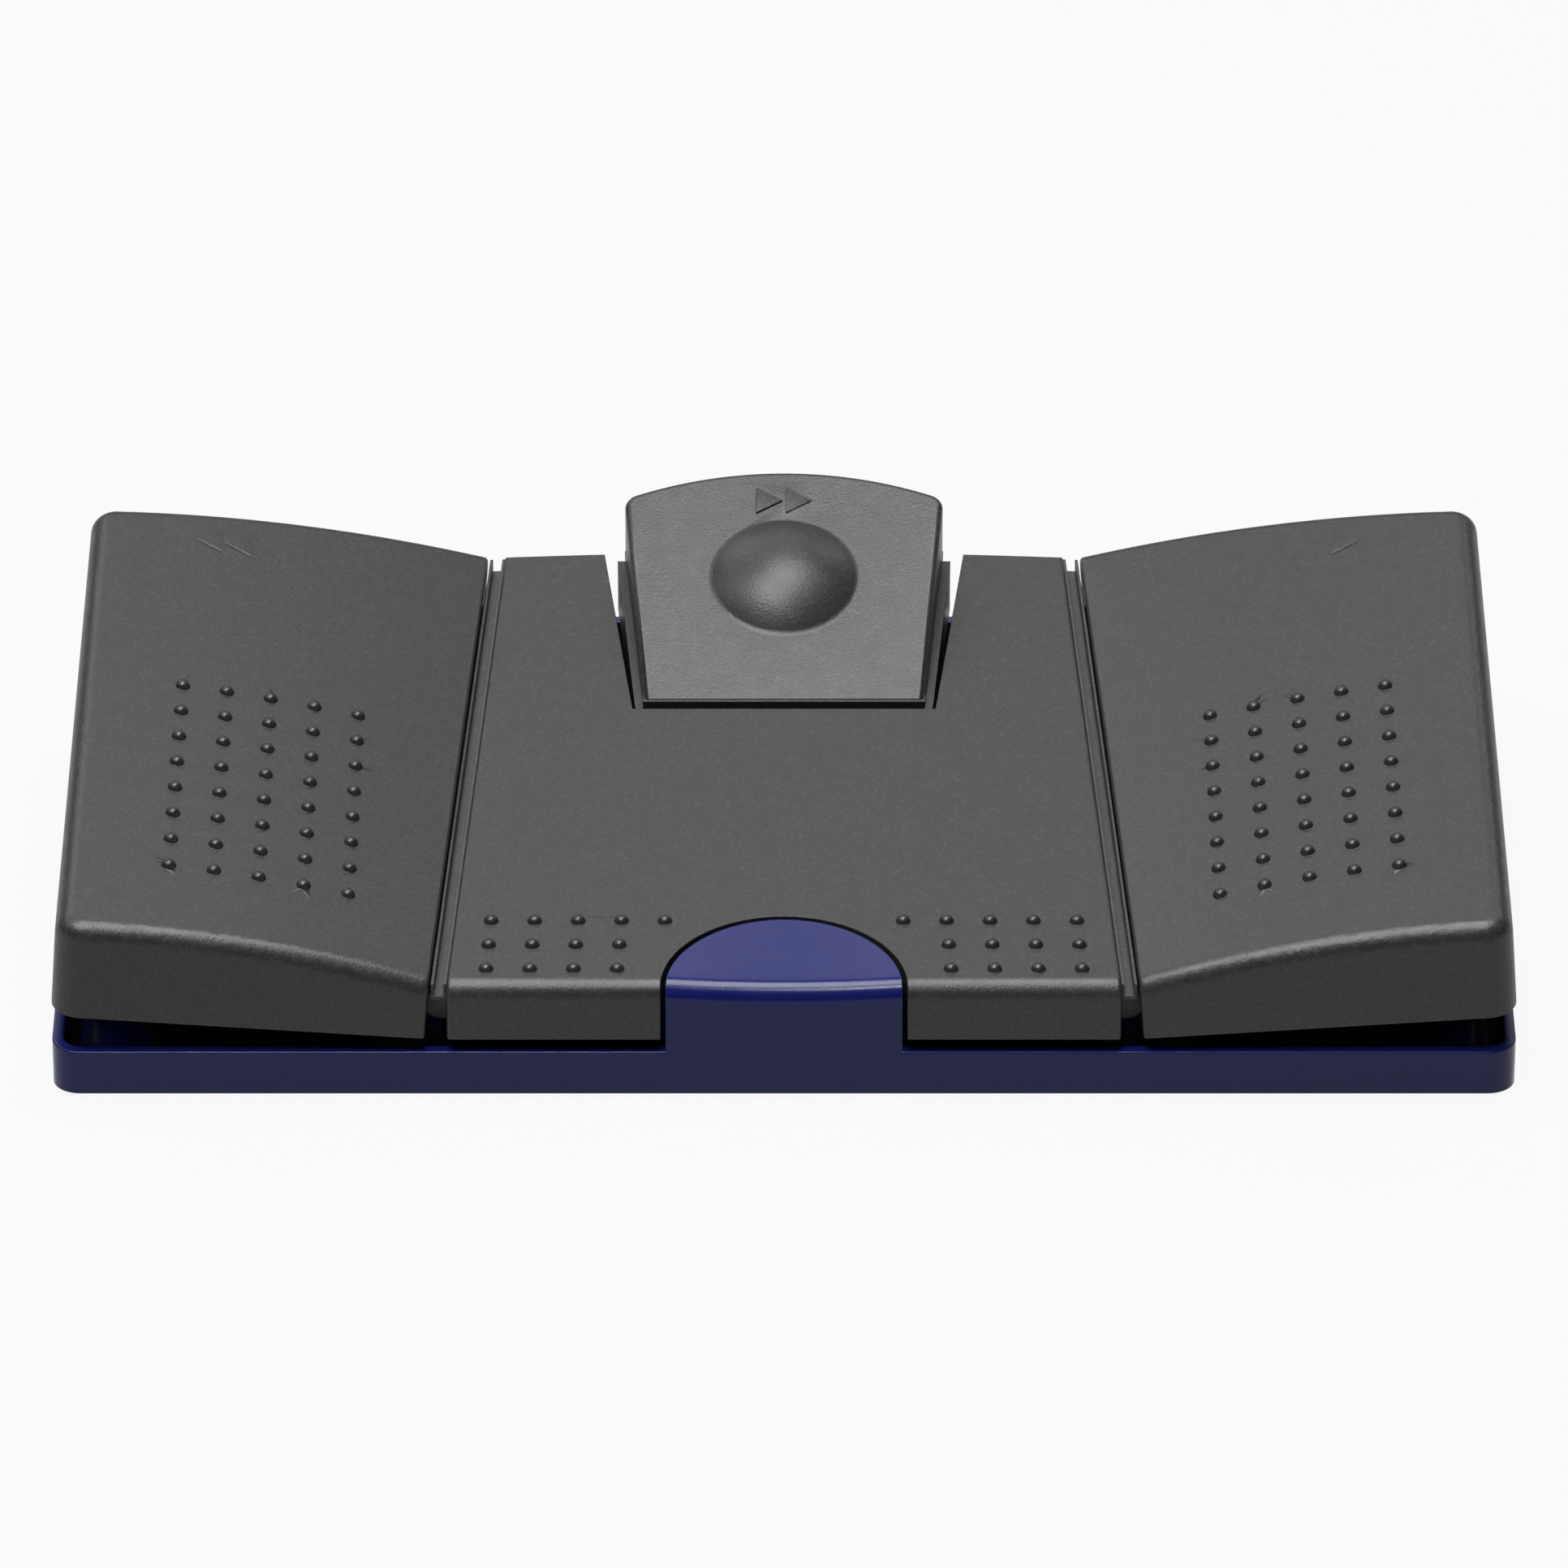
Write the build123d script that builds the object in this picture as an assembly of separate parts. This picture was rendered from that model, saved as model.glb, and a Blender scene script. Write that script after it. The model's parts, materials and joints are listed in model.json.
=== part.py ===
from build123d import *
import math
import os

# Foot pedal switch: two side pedals and a top pedal that rock on a weighted tray. Millimetres.
# It is drawn with X to the right, Y back from the tray's front face and Z up from the tray's
# underside, then shifted so that the origin is at the bottom centre of the whole switch.

# Tray and deck
tray_width = 300.0
tray_depth = 164.3
tray_wall = 2.5
tray_floor = 2.5
rim_height = 9.8
rim_round = 0.4
plan_corner = 5.8
rear_bow_radius = 913.0
deck_tilt = 4.6
deck_height = 25.3
shadow_gap = 3.0
shell_wall = 2.5
front_round = 4.2
groove_round = 0.9

# Half-round tongue of the tray
tongue_radius = 24.2
tongue_gap = 1.1
tongue_dip = 1.0
tongue_rear_dip = 0.05

# Grooves between the cover and the side pedals, and the webs in them
groove_front = 70.65
groove_splay = 3.14
strip_half = 1.6
strip_clearance = 0.3
strip_wall = 0.6
strip_floor = 0.8
strip_depth = 3.7
strip_top_drop = 0.9
strip_front = 2.2
lip_depth = 4.4

# Hinges
hinge_drop = 8.5
pin_radius = 1.5
knuckle_radius = 3.5
knuckle_reach = 9.0
knuckle_width = 6.0
lug_width = 8.0
running_fit = 0.06
hinge_setback = (9.5, 4.15, 15.8)
lug_step = 8.5
knuckle_depths = (hinge_setback[0], tray_depth / 2 - hinge_setback[1], tray_depth - hinge_setback[2])
lug_depths = (knuckle_depths[0] + lug_step, knuckle_depths[1] + lug_step, knuckle_depths[2] - lug_step)
finger_lugs = (lug_depths[0], lug_depths[2])
pin_cover = 1.5
finger_thickness = 2.8
finger_reach = 10.0
finger_stop_setback = 2.0
finger_stop_half = (2.5, 3.0)
side_travel = 4.2
top_travel = 3.4
clearance = 0.3

# Bowed top of the side pedals, as heights over the deck plane with the pedal pressed
pedal_outer_x = tray_width / 2 - 0.25
crown_front_inner = 0.2
crown_front_outer = 8.4
crown_front_bow = 2.65
crown_rear_inner = 1.65
crown_rear_outer = 13.9
crown_rear_bow = 1.8
crown_shares = (-0.15, 0.45, 1.05)

# Grip bumps
bump_radius = 1.55
bump_sink = 0.25
side_bump_columns = 5
side_bump_rows = 8
side_bump_inset = 19.95
side_bump_first = (groove_front + side_bump_inset, 24.4)
side_bump_pitch = (9.25, 9.14)
cover_bump_counts = (5, 4, 4)
cover_bump_inset = 10.45
cover_bump_outer = groove_front - cover_bump_inset
cover_bump_rear = 23.6
cover_bump_pitch = 8.93
cover_bump_step = 8.62
cover_bump_splay = 0.35

# Top pedal and its notch, with the pedal pressed
block_overhang = 1.95
block_length = 60.2
block_rear = tray_depth + block_overhang
block_front = block_rear - block_length
block_half = 29.89
block_splay = 4.7
block_rear_radius = 88.0
block_corner = 3.5
block_round = 1.4
notch_gap = 3.45
notch_front = block_front - notch_gap
notch_half = block_half + 2.15
notch_splay = 6.3
plate_width = 1.7
plate_drop = 0.5
plate_toe = 2.55
plate_rear = block_rear - 9.0
ledge_depth = 0.55
ledge_drop = 0.35
face_tilt = 18.8
face_rise = 0.925
dome_height = 5.5
dome_radius = 16.2
dome_setback = 31.35
dome_centre = block_front + dome_setback
top_axis_setback = 5.45
top_axis_depth = block_front + top_axis_setback
top_axis_drop = 9.0
ear_play = 0.2
ear_width = 5.0
ear_half_length = 5.0
top_finger_reach = 15.5
top_finger_front = top_axis_depth - top_finger_reach
top_finger_half = 9.0
top_stop_half = 8.0
top_stop_depth = 4.0

# Raised transport marks
mark_rise = 0.45
mark_size = (6.6, 5.6)
mark_gap = 0.7
side_mark_inset = (28.7, 21.3)
side_mark_centre = (tray_width / 2 - side_mark_inset[0], tray_depth - side_mark_inset[1])
top_mark_setback = 8.75
top_mark_centre = block_rear - top_mark_setback

# Screws and bosses
boss_radius = 4.0
boss_seat = 9.0
boss_rim = 0.5
screw_from_groove = 20.65
screw_from_notch = 14.0
screw_from_ends = (20.0, 21.3)
cover_screw_places = (
    (groove_front - screw_from_groove, screw_from_ends[0]),
    (notch_half + screw_from_notch, tray_depth - screw_from_ends[1]),
)
screw_shank = 1.35
screw_clearance = 0.25
screw_head = 2.9
screw_head_height = 2.0
head_recess = 3.0
thread_length = 9.0
small_shank = 1.1
small_head = 2.5
small_head_height = 1.6
small_thread = 4.5
thread_play = 0.5
cross_half_width = 0.35
cross_share = 0.6

# Circuit board and switches
board_width = 29.0
board_ahead_of_axis = 6.5
board_beyond_groove = 19.35
board_front = top_axis_depth - board_ahead_of_axis
board_rear = board_front + board_width
board_half = groove_front + board_beyond_groove
board_thickness = 1.6
board_corner = 1.5
standoff_height = 6.0
standoff_radius = 3.0
board_screw_margin = (4.5, 4.0)
board_screw_places = (
    (groove_front - screw_from_groove, board_front + board_screw_margin[0]),
    (groove_front - screw_from_groove, board_rear - board_screw_margin[1]),
)
switch_length = 27.8
switch_height = 15.9
switch_thickness = 10.3
switch_round = 0.6
switch_hole = 1.55
switch_hole_spacing = 22.2
switch_hole_height = 5.0
plunger_radius = 1.6
plunger_proud = 1.6
plunger_inside = 4.0
plunger_overtravel = 1.5
actuator_size = (5.0, 6.0)
plunger_offset = 2.8
switch_lever = 14.0
side_switch_setback = 17.8
side_switch_depth = board_front + side_switch_setback
blade_spacing = 9.0
blade_width = 2.8
blade_thickness = 0.6
blade_tail = 1.6
blade_play = 0.15
connector_size = (12.0, 6.0, 7.0)
connector_margin = 7.0
connector_place = (26.0, board_rear - connector_margin)
connector_wall = 1.0
header_pin_spacing = 2.5
header_pin_width = 0.64
header_pin_setback = 1.0

# Return springs
spring_radius = 5.6
wire_radius = 0.7
spring_turns = 6.5
spring_length = 24.0
spring_seat_radius = 7.6
spring_nub_radius = 3.6
spring_nub_height = 3.5
side_spring_inset = (32.0, 2.15)
side_spring_place = (tray_width / 2 - side_spring_inset[0], tray_depth / 2 - side_spring_inset[1])
side_spring_base = 10.0
top_spring_lever = 32.5
top_spring_depth = top_axis_depth + top_spring_lever
top_spring_drop = 5.3
top_spring_base = deck_height - top_spring_drop

# Stop pads
pad_radius = 4.5
pad_thickness = 2.5
pad_rim = 0.5
pad_round = 0.5
stop_post_radius = 3.0
side_pad_inset = 12.0
side_pad_setback = (30.0, 39.3)
side_pad_places = (
    (tray_width / 2 - side_pad_inset, side_pad_setback[0]),
    (tray_width / 2 - side_pad_inset, tray_depth - side_pad_setback[1]),
)
side_pad_base = 10.0
top_pad_setback = 13.25
top_pad_place = (20.0, block_rear - top_pad_setback)
top_pad_rise = 0.7
top_pad_base = deck_height + top_pad_rise

# Ballast plates
ballast_gaps = (13.35, 10.0, 20.0, 12.0)
ballast_low = (groove_front + ballast_gaps[0], ballast_gaps[1])
ballast_high = (tray_width / 2 - ballast_gaps[2], side_spring_place[1] - ballast_gaps[3])
ballast_thickness = 6.0
ballast_margin = 7.0
ballast_screw_places = (
    (ballast_low[0] + ballast_margin, ballast_low[1] + ballast_margin),
    (ballast_high[0] - ballast_margin, ballast_high[1] - ballast_margin),
)
ballast_boss_radius = 3.0
ballast_hole_play = 0.3
ballast_head = 4.5
ballast_corner = 3.0

# Rubber feet
foot_radius = 8.0
foot_thickness = 2.4
foot_recess = 1.2
foot_play = 0.2
foot_chamfer = 0.5
foot_inset = 18.0
foot_setback = (16.0, 26.3)
foot_places = {
    "front": (tray_width / 2 - foot_inset, foot_setback[0]),
    "rear": (tray_width / 2 - foot_inset, tray_depth - foot_setback[1]),
}

# Cord inlet
inlet_height = 11.0
grommet_body_radius = 4.0
grommet_flange_radius = 5.5
grommet_flange_thickness = 1.3
cord_bore_radius = 2.4
grommet_play = 0.1

# Working bounds that lie outside every piece
tall = 100.0
far = tray_depth + 12.0
beyond = 5.0

# How far a joined body starts inside the other, so that the two fuse
sunk = 1.0


def climb(y, angle=deck_tilt):
    return y * math.tan(math.radians(angle))


def deck_z(y):
    return deck_height + climb(y)


def groove_x(y):
    return groove_front - climb(y, groove_splay)


def beside_groove(width):
    # A width square to the groove, measured along X
    return width / math.cos(math.radians(groove_splay))


def cover_edge_x(y):
    return groove_x(y) - beside_groove(strip_half)


def pedal_inner_x(y):
    # The inner wall leans towards the web when the pedal is up, so it starts that much further out.
    lean = hinge_drop * math.sin(math.radians(side_travel))
    return groove_x(y) + beside_groove(strip_half + strip_clearance + lean)


def notch_x(y):
    return notch_half + climb(y - notch_front, notch_splay)


def climbing_plane(height, tilt=deck_tilt, depth=0.0):
    angle = math.radians(tilt)
    return Plane(origin=(0, depth, height), x_dir=(1, 0, 0), z_dir=(0, -math.sin(angle), math.cos(angle)))


def below(solid, height):
    return split(solid, bisect_by=climbing_plane(height), keep=Keep.BOTTOM)


def above(solid, height):
    return split(solid, bisect_by=climbing_plane(height), keep=Keep.TOP)


def flat(*points):
    return make_face(Polyline(*points, close=True))


def prism(plan, low, high):
    return Pos(0, 0, low) * extrude(plan, high - low)


def post(x, y, radius, low, high):
    return prism(Pos(x, y) * Circle(radius), low, high)


def block(x_low, x_high, y_low, y_high, z_low, z_high):
    size = (x_high - x_low, y_high - y_low, z_high - z_low)
    centre = ((x_low + x_high) / 2, (y_low + y_high) / 2, (z_low + z_high) / 2)
    return Pos(*centre) * Box(*size)


def bowed(plan, inset=0.0):
    return plan & (Pos(0, tray_depth - rear_bow_radius) * Circle(rear_bow_radius - inset))


def edges_on(solid, plane, reach=0.01):
    stations = (0, 0.25, 0.5, 0.75, 1)
    return [e for e in solid.edges() if all(abs(plane.to_local_coords(e @ t).Z) < reach for t in stations)]


# Side hinge axis, for the right-hand side
def hinge_axis():
    direction = (-math.tan(math.radians(groove_splay)), 1, math.tan(math.radians(deck_tilt)))
    return Axis((groove_front, 0, deck_height - hinge_drop), direction)


def hinge_plane(depth):
    # Section square to the hinge pin: its x is the way out to the pedal and its y is up.
    axis = hinge_axis()
    along = axis.direction
    origin = Vector(groove_x(depth), depth, deck_z(depth) - hinge_drop)
    return Plane(origin=origin, x_dir=Vector(0, 0, 1).cross(along) * -1, z_dir=along * -1)


def top_axis_z():
    return deck_z(top_axis_depth) - top_axis_drop


def top_hinge_axis():
    return Axis((0, top_axis_depth, top_axis_z()), (1, 0, 0))


def drop_at(lever, travel):
    return lever * math.sin(math.radians(travel))


# Tray
def tray_plan(inset):
    half = tray_width / 2 - inset
    plan = bowed(flat((-half, inset), (half, inset), (half, far), (-half, far)), inset)
    return fillet(plan.vertices(), plan_corner - inset)


def half_disc(radius, front):
    return Circle(radius) & flat((-radius, front), (radius, front), (radius, radius), (-radius, radius))


def tongue_section(depth, dip):
    # The hollow top is level with the deck at the tongue's radius; the section runs on a little past it.
    radius = (tongue_radius ** 2 + dip ** 2) / (2 * dip)
    half = tongue_radius + sunk
    lowest = deck_z(depth) - dip
    edge = lowest + radius - math.sqrt(radius ** 2 - half ** 2)
    corners = ((-half, depth, edge), (-half, depth, 0), (half, depth, 0), (half, depth, edge))
    top = ThreePointArc(corners[3], (0, depth, lowest), corners[0])
    return make_face([Line(corners[0], corners[1]), Line(corners[1], corners[2]), Line(corners[2], corners[3]), top])


def tongue():
    sections = [tongue_section(0, tongue_dip), tongue_section(tongue_radius, tongue_rear_dip)]
    body = loft(sections, ruled=True) & prism(half_disc(tongue_radius, 0), 0, tall)
    front_top = [e for e in edges_on(body, Plane.XZ) if (e @ 0.5).Z > deck_height - 2 * tongue_dip]
    return fillet(front_top, front_round)


def tongue_pocket():
    hollow = prism(half_disc(tongue_radius - shell_wall, tray_wall), -1, tall)
    return below(hollow, deck_height - tongue_dip - shell_wall)


def side_stop_posts():
    posts = []
    half_x, half_y = finger_stop_half
    for depth in finger_lugs:
        x = groove_x(depth) - finger_reach + finger_stop_setback
        low_point = deck_z(depth) - hinge_drop - knuckle_radius - drop_at(finger_reach, side_travel)
        top = low_point - clearance
        posts.append(block(x - half_x, x + half_x, depth - half_y, depth + half_y, tray_floor - sunk, top))
    return posts


def top_finger_bottom():
    return top_axis_z() - knuckle_radius - finger_thickness / 2


def tray_bosses():
    bosses = []
    for x, y in cover_screw_places:
        bosses.append(post(x, y, boss_radius + boss_rim, tray_floor - sunk, boss_seat))
    for x, y in board_screw_places:
        bosses.append(post(x, y, standoff_radius, tray_floor - sunk, tray_floor + standoff_height))
    for x, y in ballast_screw_places:
        bosses.append(post(x, y, ballast_boss_radius, tray_floor - sunk, tray_floor + ballast_thickness))
    for x, y in side_pad_places:
        bosses.append(post(x, y, pad_radius + pad_rim, tray_floor - sunk, side_pad_base))
    x, y = side_spring_place
    bosses.append(post(x, y, spring_seat_radius, tray_floor - sunk, side_spring_base))
    bosses.append(post(x, y, spring_nub_radius, tray_floor, side_spring_base + spring_nub_height))
    bosses.append(post(*top_pad_place, pad_radius + pad_rim, tray_floor - sunk, top_pad_base))
    bosses.extend(side_stop_posts())
    centre = [
        post(0, top_spring_depth, spring_seat_radius, tray_floor - sunk, top_spring_base),
        post(0, top_spring_depth, spring_nub_radius, tray_floor, top_spring_base + spring_nub_height),
    ]
    stop_top = top_finger_bottom() - drop_at(top_axis_depth - top_finger_front, top_travel) - clearance
    centre.append(block(-top_stop_half, top_stop_half, top_finger_front, top_finger_front + top_stop_depth,
                        tray_floor - sunk, stop_top))
    return [mirror(b, about=Plane.YZ) for b in bosses] + bosses + centre


def tray_cuts():
    cuts = []
    for x, y in cover_screw_places:
        cuts.append(post(x, y, screw_shank + screw_clearance, -1, boss_seat + 1))
        cuts.append(post(x, y, screw_head + screw_clearance, -1, head_recess + screw_head_height))
    for x, y in foot_places.values():
        cuts.append(post(x, y, foot_radius + foot_play, -1, foot_recess))
    for x, y in board_screw_places:
        top = tray_floor + standoff_height
        cuts.append(post(x, y, small_shank, top - small_thread, top + 1))
    for x, y in ballast_screw_places:
        top = tray_floor + ballast_thickness
        cuts.append(post(x, y, small_shank, top - small_thread, top + 1))
    return [mirror(c, about=Plane.YZ) for c in cuts] + cuts


def make_base_tray():
    shell = below(prism(tray_plan(0), 0, tall), rim_height)
    shell -= prism(tray_plan(tray_wall), tray_floor, tall)
    rim_edges = edges_on(shell, climbing_plane(rim_height))
    shell = fillet(rim_edges, rim_round)
    shell += tongue()
    shell += tray_bosses()
    shell -= tongue_pocket()
    shell -= tray_cuts()
    inlet = Pos(0, tray_depth, inlet_height) * Rot(90, 0, 0) * Cylinder(grommet_body_radius, 4 * tray_wall)
    return shell - inlet


# Cover between the pedals
def cover_plan():
    front, rear = cover_edge_x(0), cover_edge_x(far)
    plan = bowed(flat((-front, 0), (front, 0), (rear, far), (-rear, far)))
    plan -= Circle(tongue_radius + tongue_gap)
    notch = flat((-notch_half, notch_front), (notch_half, notch_front), (notch_x(far), far), (-notch_x(far), far))
    return plan - notch


def cover_hollow(plan):
    hollow = below(prism(offset(plan, -shell_wall, kind=Kind.INTERSECTION), -1, tall), deck_height - shell_wall)
    front, rear = groove_x(0), groove_x(far)
    low = flat((-front, shell_wall), (front, shell_wall), (rear, far), (-rear, far))
    low = bowed(low, shell_wall) - Circle(tongue_radius + tongue_gap + shell_wall)
    return hollow, below(prism(low, -1, tall), deck_height - lip_depth)


def round_cover(cover):
    deck = climbing_plane(deck_height)
    front = [e for e in edges_on(cover, deck) if (e @ 0.5).Y < 0.01]
    cover = fillet(front, front_round)
    rest = [
        e for e in edges_on(cover, deck)
        if abs(abs((e @ 0.5).X) - cover_edge_x((e @ 0.5).Y)) < 0.01
        or ((e @ 0.5).Y > tray_depth - beyond and abs((e @ 0.5).X) > notch_half)
    ]
    return fillet(rest, groove_round)


def hinge_block(depth, width, inward):
    # Round knuckle with an arm that climbs into the plate beside the groove.
    side = -1 if inward else 1
    near = strip_half if inward else pedal_inner_x(0) - groove_x(0)
    arm_top = hinge_drop - 0.5 * shell_wall
    sketch = Circle(knuckle_radius)
    sketch += Pos(side * knuckle_reach / 2, 0) * Rectangle(knuckle_reach, 2 * knuckle_radius)
    sketch += Pos(side * (near + knuckle_reach) / 2, arm_top / 2) * Rectangle(knuckle_reach - near, arm_top)
    return extrude(hinge_plane(depth) * sketch, width / 2, both=True)


def pin_hole(depth, width, radius):
    return extrude(hinge_plane(depth) * Circle(radius), width, both=True)


def hinge_rod(start, end, radius):
    return extrude(hinge_plane(start) * Circle(radius), -(end - start) / hinge_axis().direction.Y)


def pin_start():
    # The front knuckle is closed in front of the pin.
    return knuckle_depths[0] - knuckle_width / 2 + pin_cover


def ear_x():
    return notch_x(top_axis_depth + ear_half_length) + ear_play


def cover_ears():
    inner = ear_x()
    low, high = top_axis_z() - knuckle_radius, deck_z(top_axis_depth) - shell_wall / 2
    ear = block(inner, inner + ear_width, top_axis_depth - ear_half_length,
                top_axis_depth + ear_half_length, low, high)
    hole = Pos(inner, top_axis_depth, top_axis_z()) * Rot(0, 90, 0) * Cylinder(pin_radius, 4 * ear_width)
    return ear - hole


def cover_bosses():
    bosses = []
    for x, y in cover_screw_places:
        boss = below(post(x, y, boss_radius, boss_seat, tall), deck_height - shell_wall / 2)
        bosses.append(boss - post(x, y, screw_shank, boss_seat - 1, boss_seat + thread_length))
    return bosses


def cover_bumps():
    bumps = []
    for row, count in enumerate(cover_bump_counts):
        y = cover_bump_rear - row * cover_bump_step
        for column in range(count):
            x = cover_bump_outer + row * cover_bump_splay - column * cover_bump_pitch
            bumps.append(Pos(x, y, deck_z(y) - bump_sink) * Sphere(bump_radius))
    return bumps


def make_centre_cover():
    plan = cover_plan()
    cover = above(below(prism(plan, 0, tall), deck_height), rim_height + shadow_gap)
    cover = round_cover(cover)
    for hollow in cover_hollow(plan):
        cover -= hollow
    extras = [hinge_block(depth, knuckle_width, True) for depth in knuckle_depths]
    extras += [cover_ears()] + cover_bosses() + cover_bumps()
    cover += [mirror(piece, about=Plane.YZ) for piece in extras] + extras
    hole = hinge_rod(pin_start(), knuckle_depths[-1] + knuckle_width, pin_radius)
    return cover - [mirror(hole, about=Plane.YZ), hole]


# Webs in the grooves
def make_hinge_strip():
    outer = Pos(0, hinge_drop - strip_depth - strip_floor, 0)
    height = strip_depth + strip_floor - strip_top_drop
    section = outer * Pos(0, height / 2) * Rectangle(2 * strip_half, height)
    section -= outer * Pos(0, height / 2 + strip_floor) * Rectangle(2 * (strip_half - strip_wall), height)
    bar = extrude(hinge_plane(strip_front) * section, -far)
    return bar & bowed_slab()


def bowed_slab():
    plan = flat((0, strip_front), (tray_width, strip_front), (tray_width, far), (0, far))
    return prism(bowed(plan), 0, tall)


def make_hinge_pin():
    return hinge_rod(pin_start(), knuckle_depths[-1] + knuckle_width / 2, pin_radius)


# Side pedals, drawn pressed on the right-hand side
def crown_terms(y):
    share = y / tray_depth
    inner = crown_front_inner + share * (crown_rear_inner - crown_front_inner)
    outer = crown_front_outer + share * (crown_rear_outer - crown_front_outer)
    return inner, outer, crown_front_bow + share * (crown_rear_bow - crown_front_bow)


def crown_height(across, y):
    # across runs from 0 at the pedal's inner wall to 1 at its outer wall
    inner, outer, bow = crown_terms(y)
    return deck_z(y) + inner + (outer - inner) * across + 4 * bow * across * (1 - across)


def crown_z(x, y):
    inner = pedal_inner_x(y)
    return crown_height((x - inner) / (pedal_outer_x - inner), y)


def crown_section(y):
    inner, width = pedal_inner_x(y), pedal_outer_x - pedal_inner_x(y)
    top = [(inner + width * s, y, crown_height(s, y)) for s in crown_shares]
    left, right = (top[0][0], y, 0), (top[2][0], y, 0)
    arc = ThreePointArc(*reversed(top))
    return make_face([Line(top[0], left), Line(left, right), Line(right, top[2]), arc])


def crown_solid(drop=0.0):
    return Pos(0, 0, -drop) * loft([crown_section(-beyond), crown_section(tray_depth + beyond)], ruled=True)


def pedal_plan():
    outer_x = pedal_outer_x
    plan = bowed(flat((pedal_inner_x(0), 0), (outer_x, 0), (outer_x, far), (pedal_inner_x(far), far)))
    outer = [v for v in plan.vertices() if v.X > outer_x - 1]
    return fillet(outer, plan_corner)


def triangle_mark(centre, pointing, count):
    marks = []
    height, width = mark_size
    for index in range(count):
        x = centre[0] + (index - (count - 1) / 2) * (width + mark_gap)
        tip, tail = x + pointing * width / 2, x - pointing * width / 2
        points = ((tip, centre[1]), (tail, centre[1] + height / 2), (tail, centre[1] - height / 2))
        marks.append(flat(*points))
    return marks


def pressed_pedal(crown):
    plan = pedal_plan()
    pedal = above(prism(plan, 0, tall) & crown, rim_height + shadow_gap)
    top_edges = [e for e in pedal.edges() if (e @ 0.5).Z > crown_z((e @ 0.5).X, (e @ 0.5).Y) - 0.5]
    groove_edges = [e for e in top_edges if abs((e @ 0.5).X - pedal_inner_x((e @ 0.5).Y)) < 0.05]
    pedal = fillet([e for e in top_edges if e not in groove_edges], front_round)
    groove_edges = [
        e for e in pedal.edges()
        if abs((e @ 0.5).X - pedal_inner_x((e @ 0.5).Y)) < 0.05 and (e @ 0.5).Z > deck_z((e @ 0.5).Y) - 1
        and e.length > tray_depth / 2
    ]
    pedal = fillet(groove_edges, groove_round)
    pedal -= prism(offset(plan, -shell_wall, kind=Kind.INTERSECTION), 0, tall) & crown_solid(shell_wall)
    low = flat((pedal_inner_x(0) - 1, shell_wall), (pedal_inner_x(0) + shell_wall + 1, shell_wall),
               (pedal_inner_x(far) + shell_wall + 1, far), (pedal_inner_x(far) - 1, far))
    return pedal - below(prism(bowed(low, shell_wall), 0, tall), deck_height - lip_depth)


def plunger_top():
    return tray_floor + standoff_height + board_thickness + switch_height + plunger_proud


def pedal_posts():
    # What hangs under a side pedal: each is (plan, height of its lower end with the pedal pressed).
    x, y = side_spring_place
    seat = side_spring_base + spring_length + clearance - drop_at(x - groove_x(y), side_travel)
    posts = [
        (Pos(x, y) * Circle(spring_seat_radius), seat),
        (Pos(x, y) * Circle(spring_nub_radius), seat - spring_nub_height),
    ]
    y = side_switch_depth
    tip = plunger_top() + clearance - drop_at(switch_lever, side_travel)
    posts.append((Pos(groove_x(y) + switch_lever, y) * Rectangle(*actuator_size), tip))
    for x, y in side_pad_places:
        posts.append((Pos(x, y) * Circle(stop_post_radius), side_pad_base + pad_thickness + clearance))
    return posts


def make_side_pedal(mark_pointing, mark_count):
    crown = crown_solid()
    pedal = pressed_pedal(crown)
    under = crown_solid(shell_wall / 2)
    additions = [prism(plan, low, tall) & under for plan, low in pedal_posts()]
    additions += [hinge_block(depth, lug_width, False) for depth in lug_depths]
    for depth in finger_lugs:
        height = finger_thickness / 2 - knuckle_radius
        sketch = Pos(-finger_reach / 2, height) * Rectangle(finger_reach, finger_thickness)
        additions.append(extrude(hinge_plane(depth) * sketch, lug_width / 2, both=True))
    for column in range(side_bump_columns):
        for row in range(side_bump_rows):
            x = side_bump_first[0] + column * side_bump_pitch[0]
            y = side_bump_first[1] + row * side_bump_pitch[1]
            additions.append(Pos(x, y, crown_z(x, y) - bump_sink) * Sphere(bump_radius))
    raised = crown_solid(-mark_rise) - crown_solid(shell_wall / 2)
    for mark in triangle_mark(side_mark_centre, mark_pointing, mark_count):
        additions.append(prism(mark, 0, tall) & raised)
    pedal += additions
    pedal -= [pin_hole(depth, lug_width, pin_radius + running_fit) for depth in lug_depths]
    return pedal.rotate(hinge_axis(), -side_travel)


# Top pedal, drawn pressed
def block_x(y):
    return block_half + climb(y - block_front, block_splay)


def block_plan(margin, front):
    plan = flat((-block_x(front) - margin, front), (block_x(front) + margin, front),
                (block_x(far) + margin, far), (-block_x(far) - margin, far))
    return plan & (Pos(0, block_rear - block_rear_radius) * Circle(block_rear_radius))


def face_plane(drop=0.0):
    plane = climbing_plane(deck_z(block_front) + face_rise, face_tilt, block_front)
    return plane.offset(-drop)


def under_face(solid, drop=0.0):
    return split(solid, bisect_by=face_plane(drop), keep=Keep.BOTTOM)


def dome(drop=0.0):
    # Cap of a ball that stands on the face, or the same cap lowered with the face by drop
    radius = (dome_radius ** 2 + dome_height ** 2) / (2 * dome_height)
    shift = (dome_centre - block_front) / math.cos(math.radians(face_tilt))
    ball = face_plane(radius - dome_height) * Pos(0, shift, 0) * Sphere(radius - drop)
    return split(ball, bisect_by=face_plane(drop + sunk), keep=Keep.TOP)


def under_top(column, drop=0.0):
    return under_face(column, drop) + (column & dome(drop))


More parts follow.
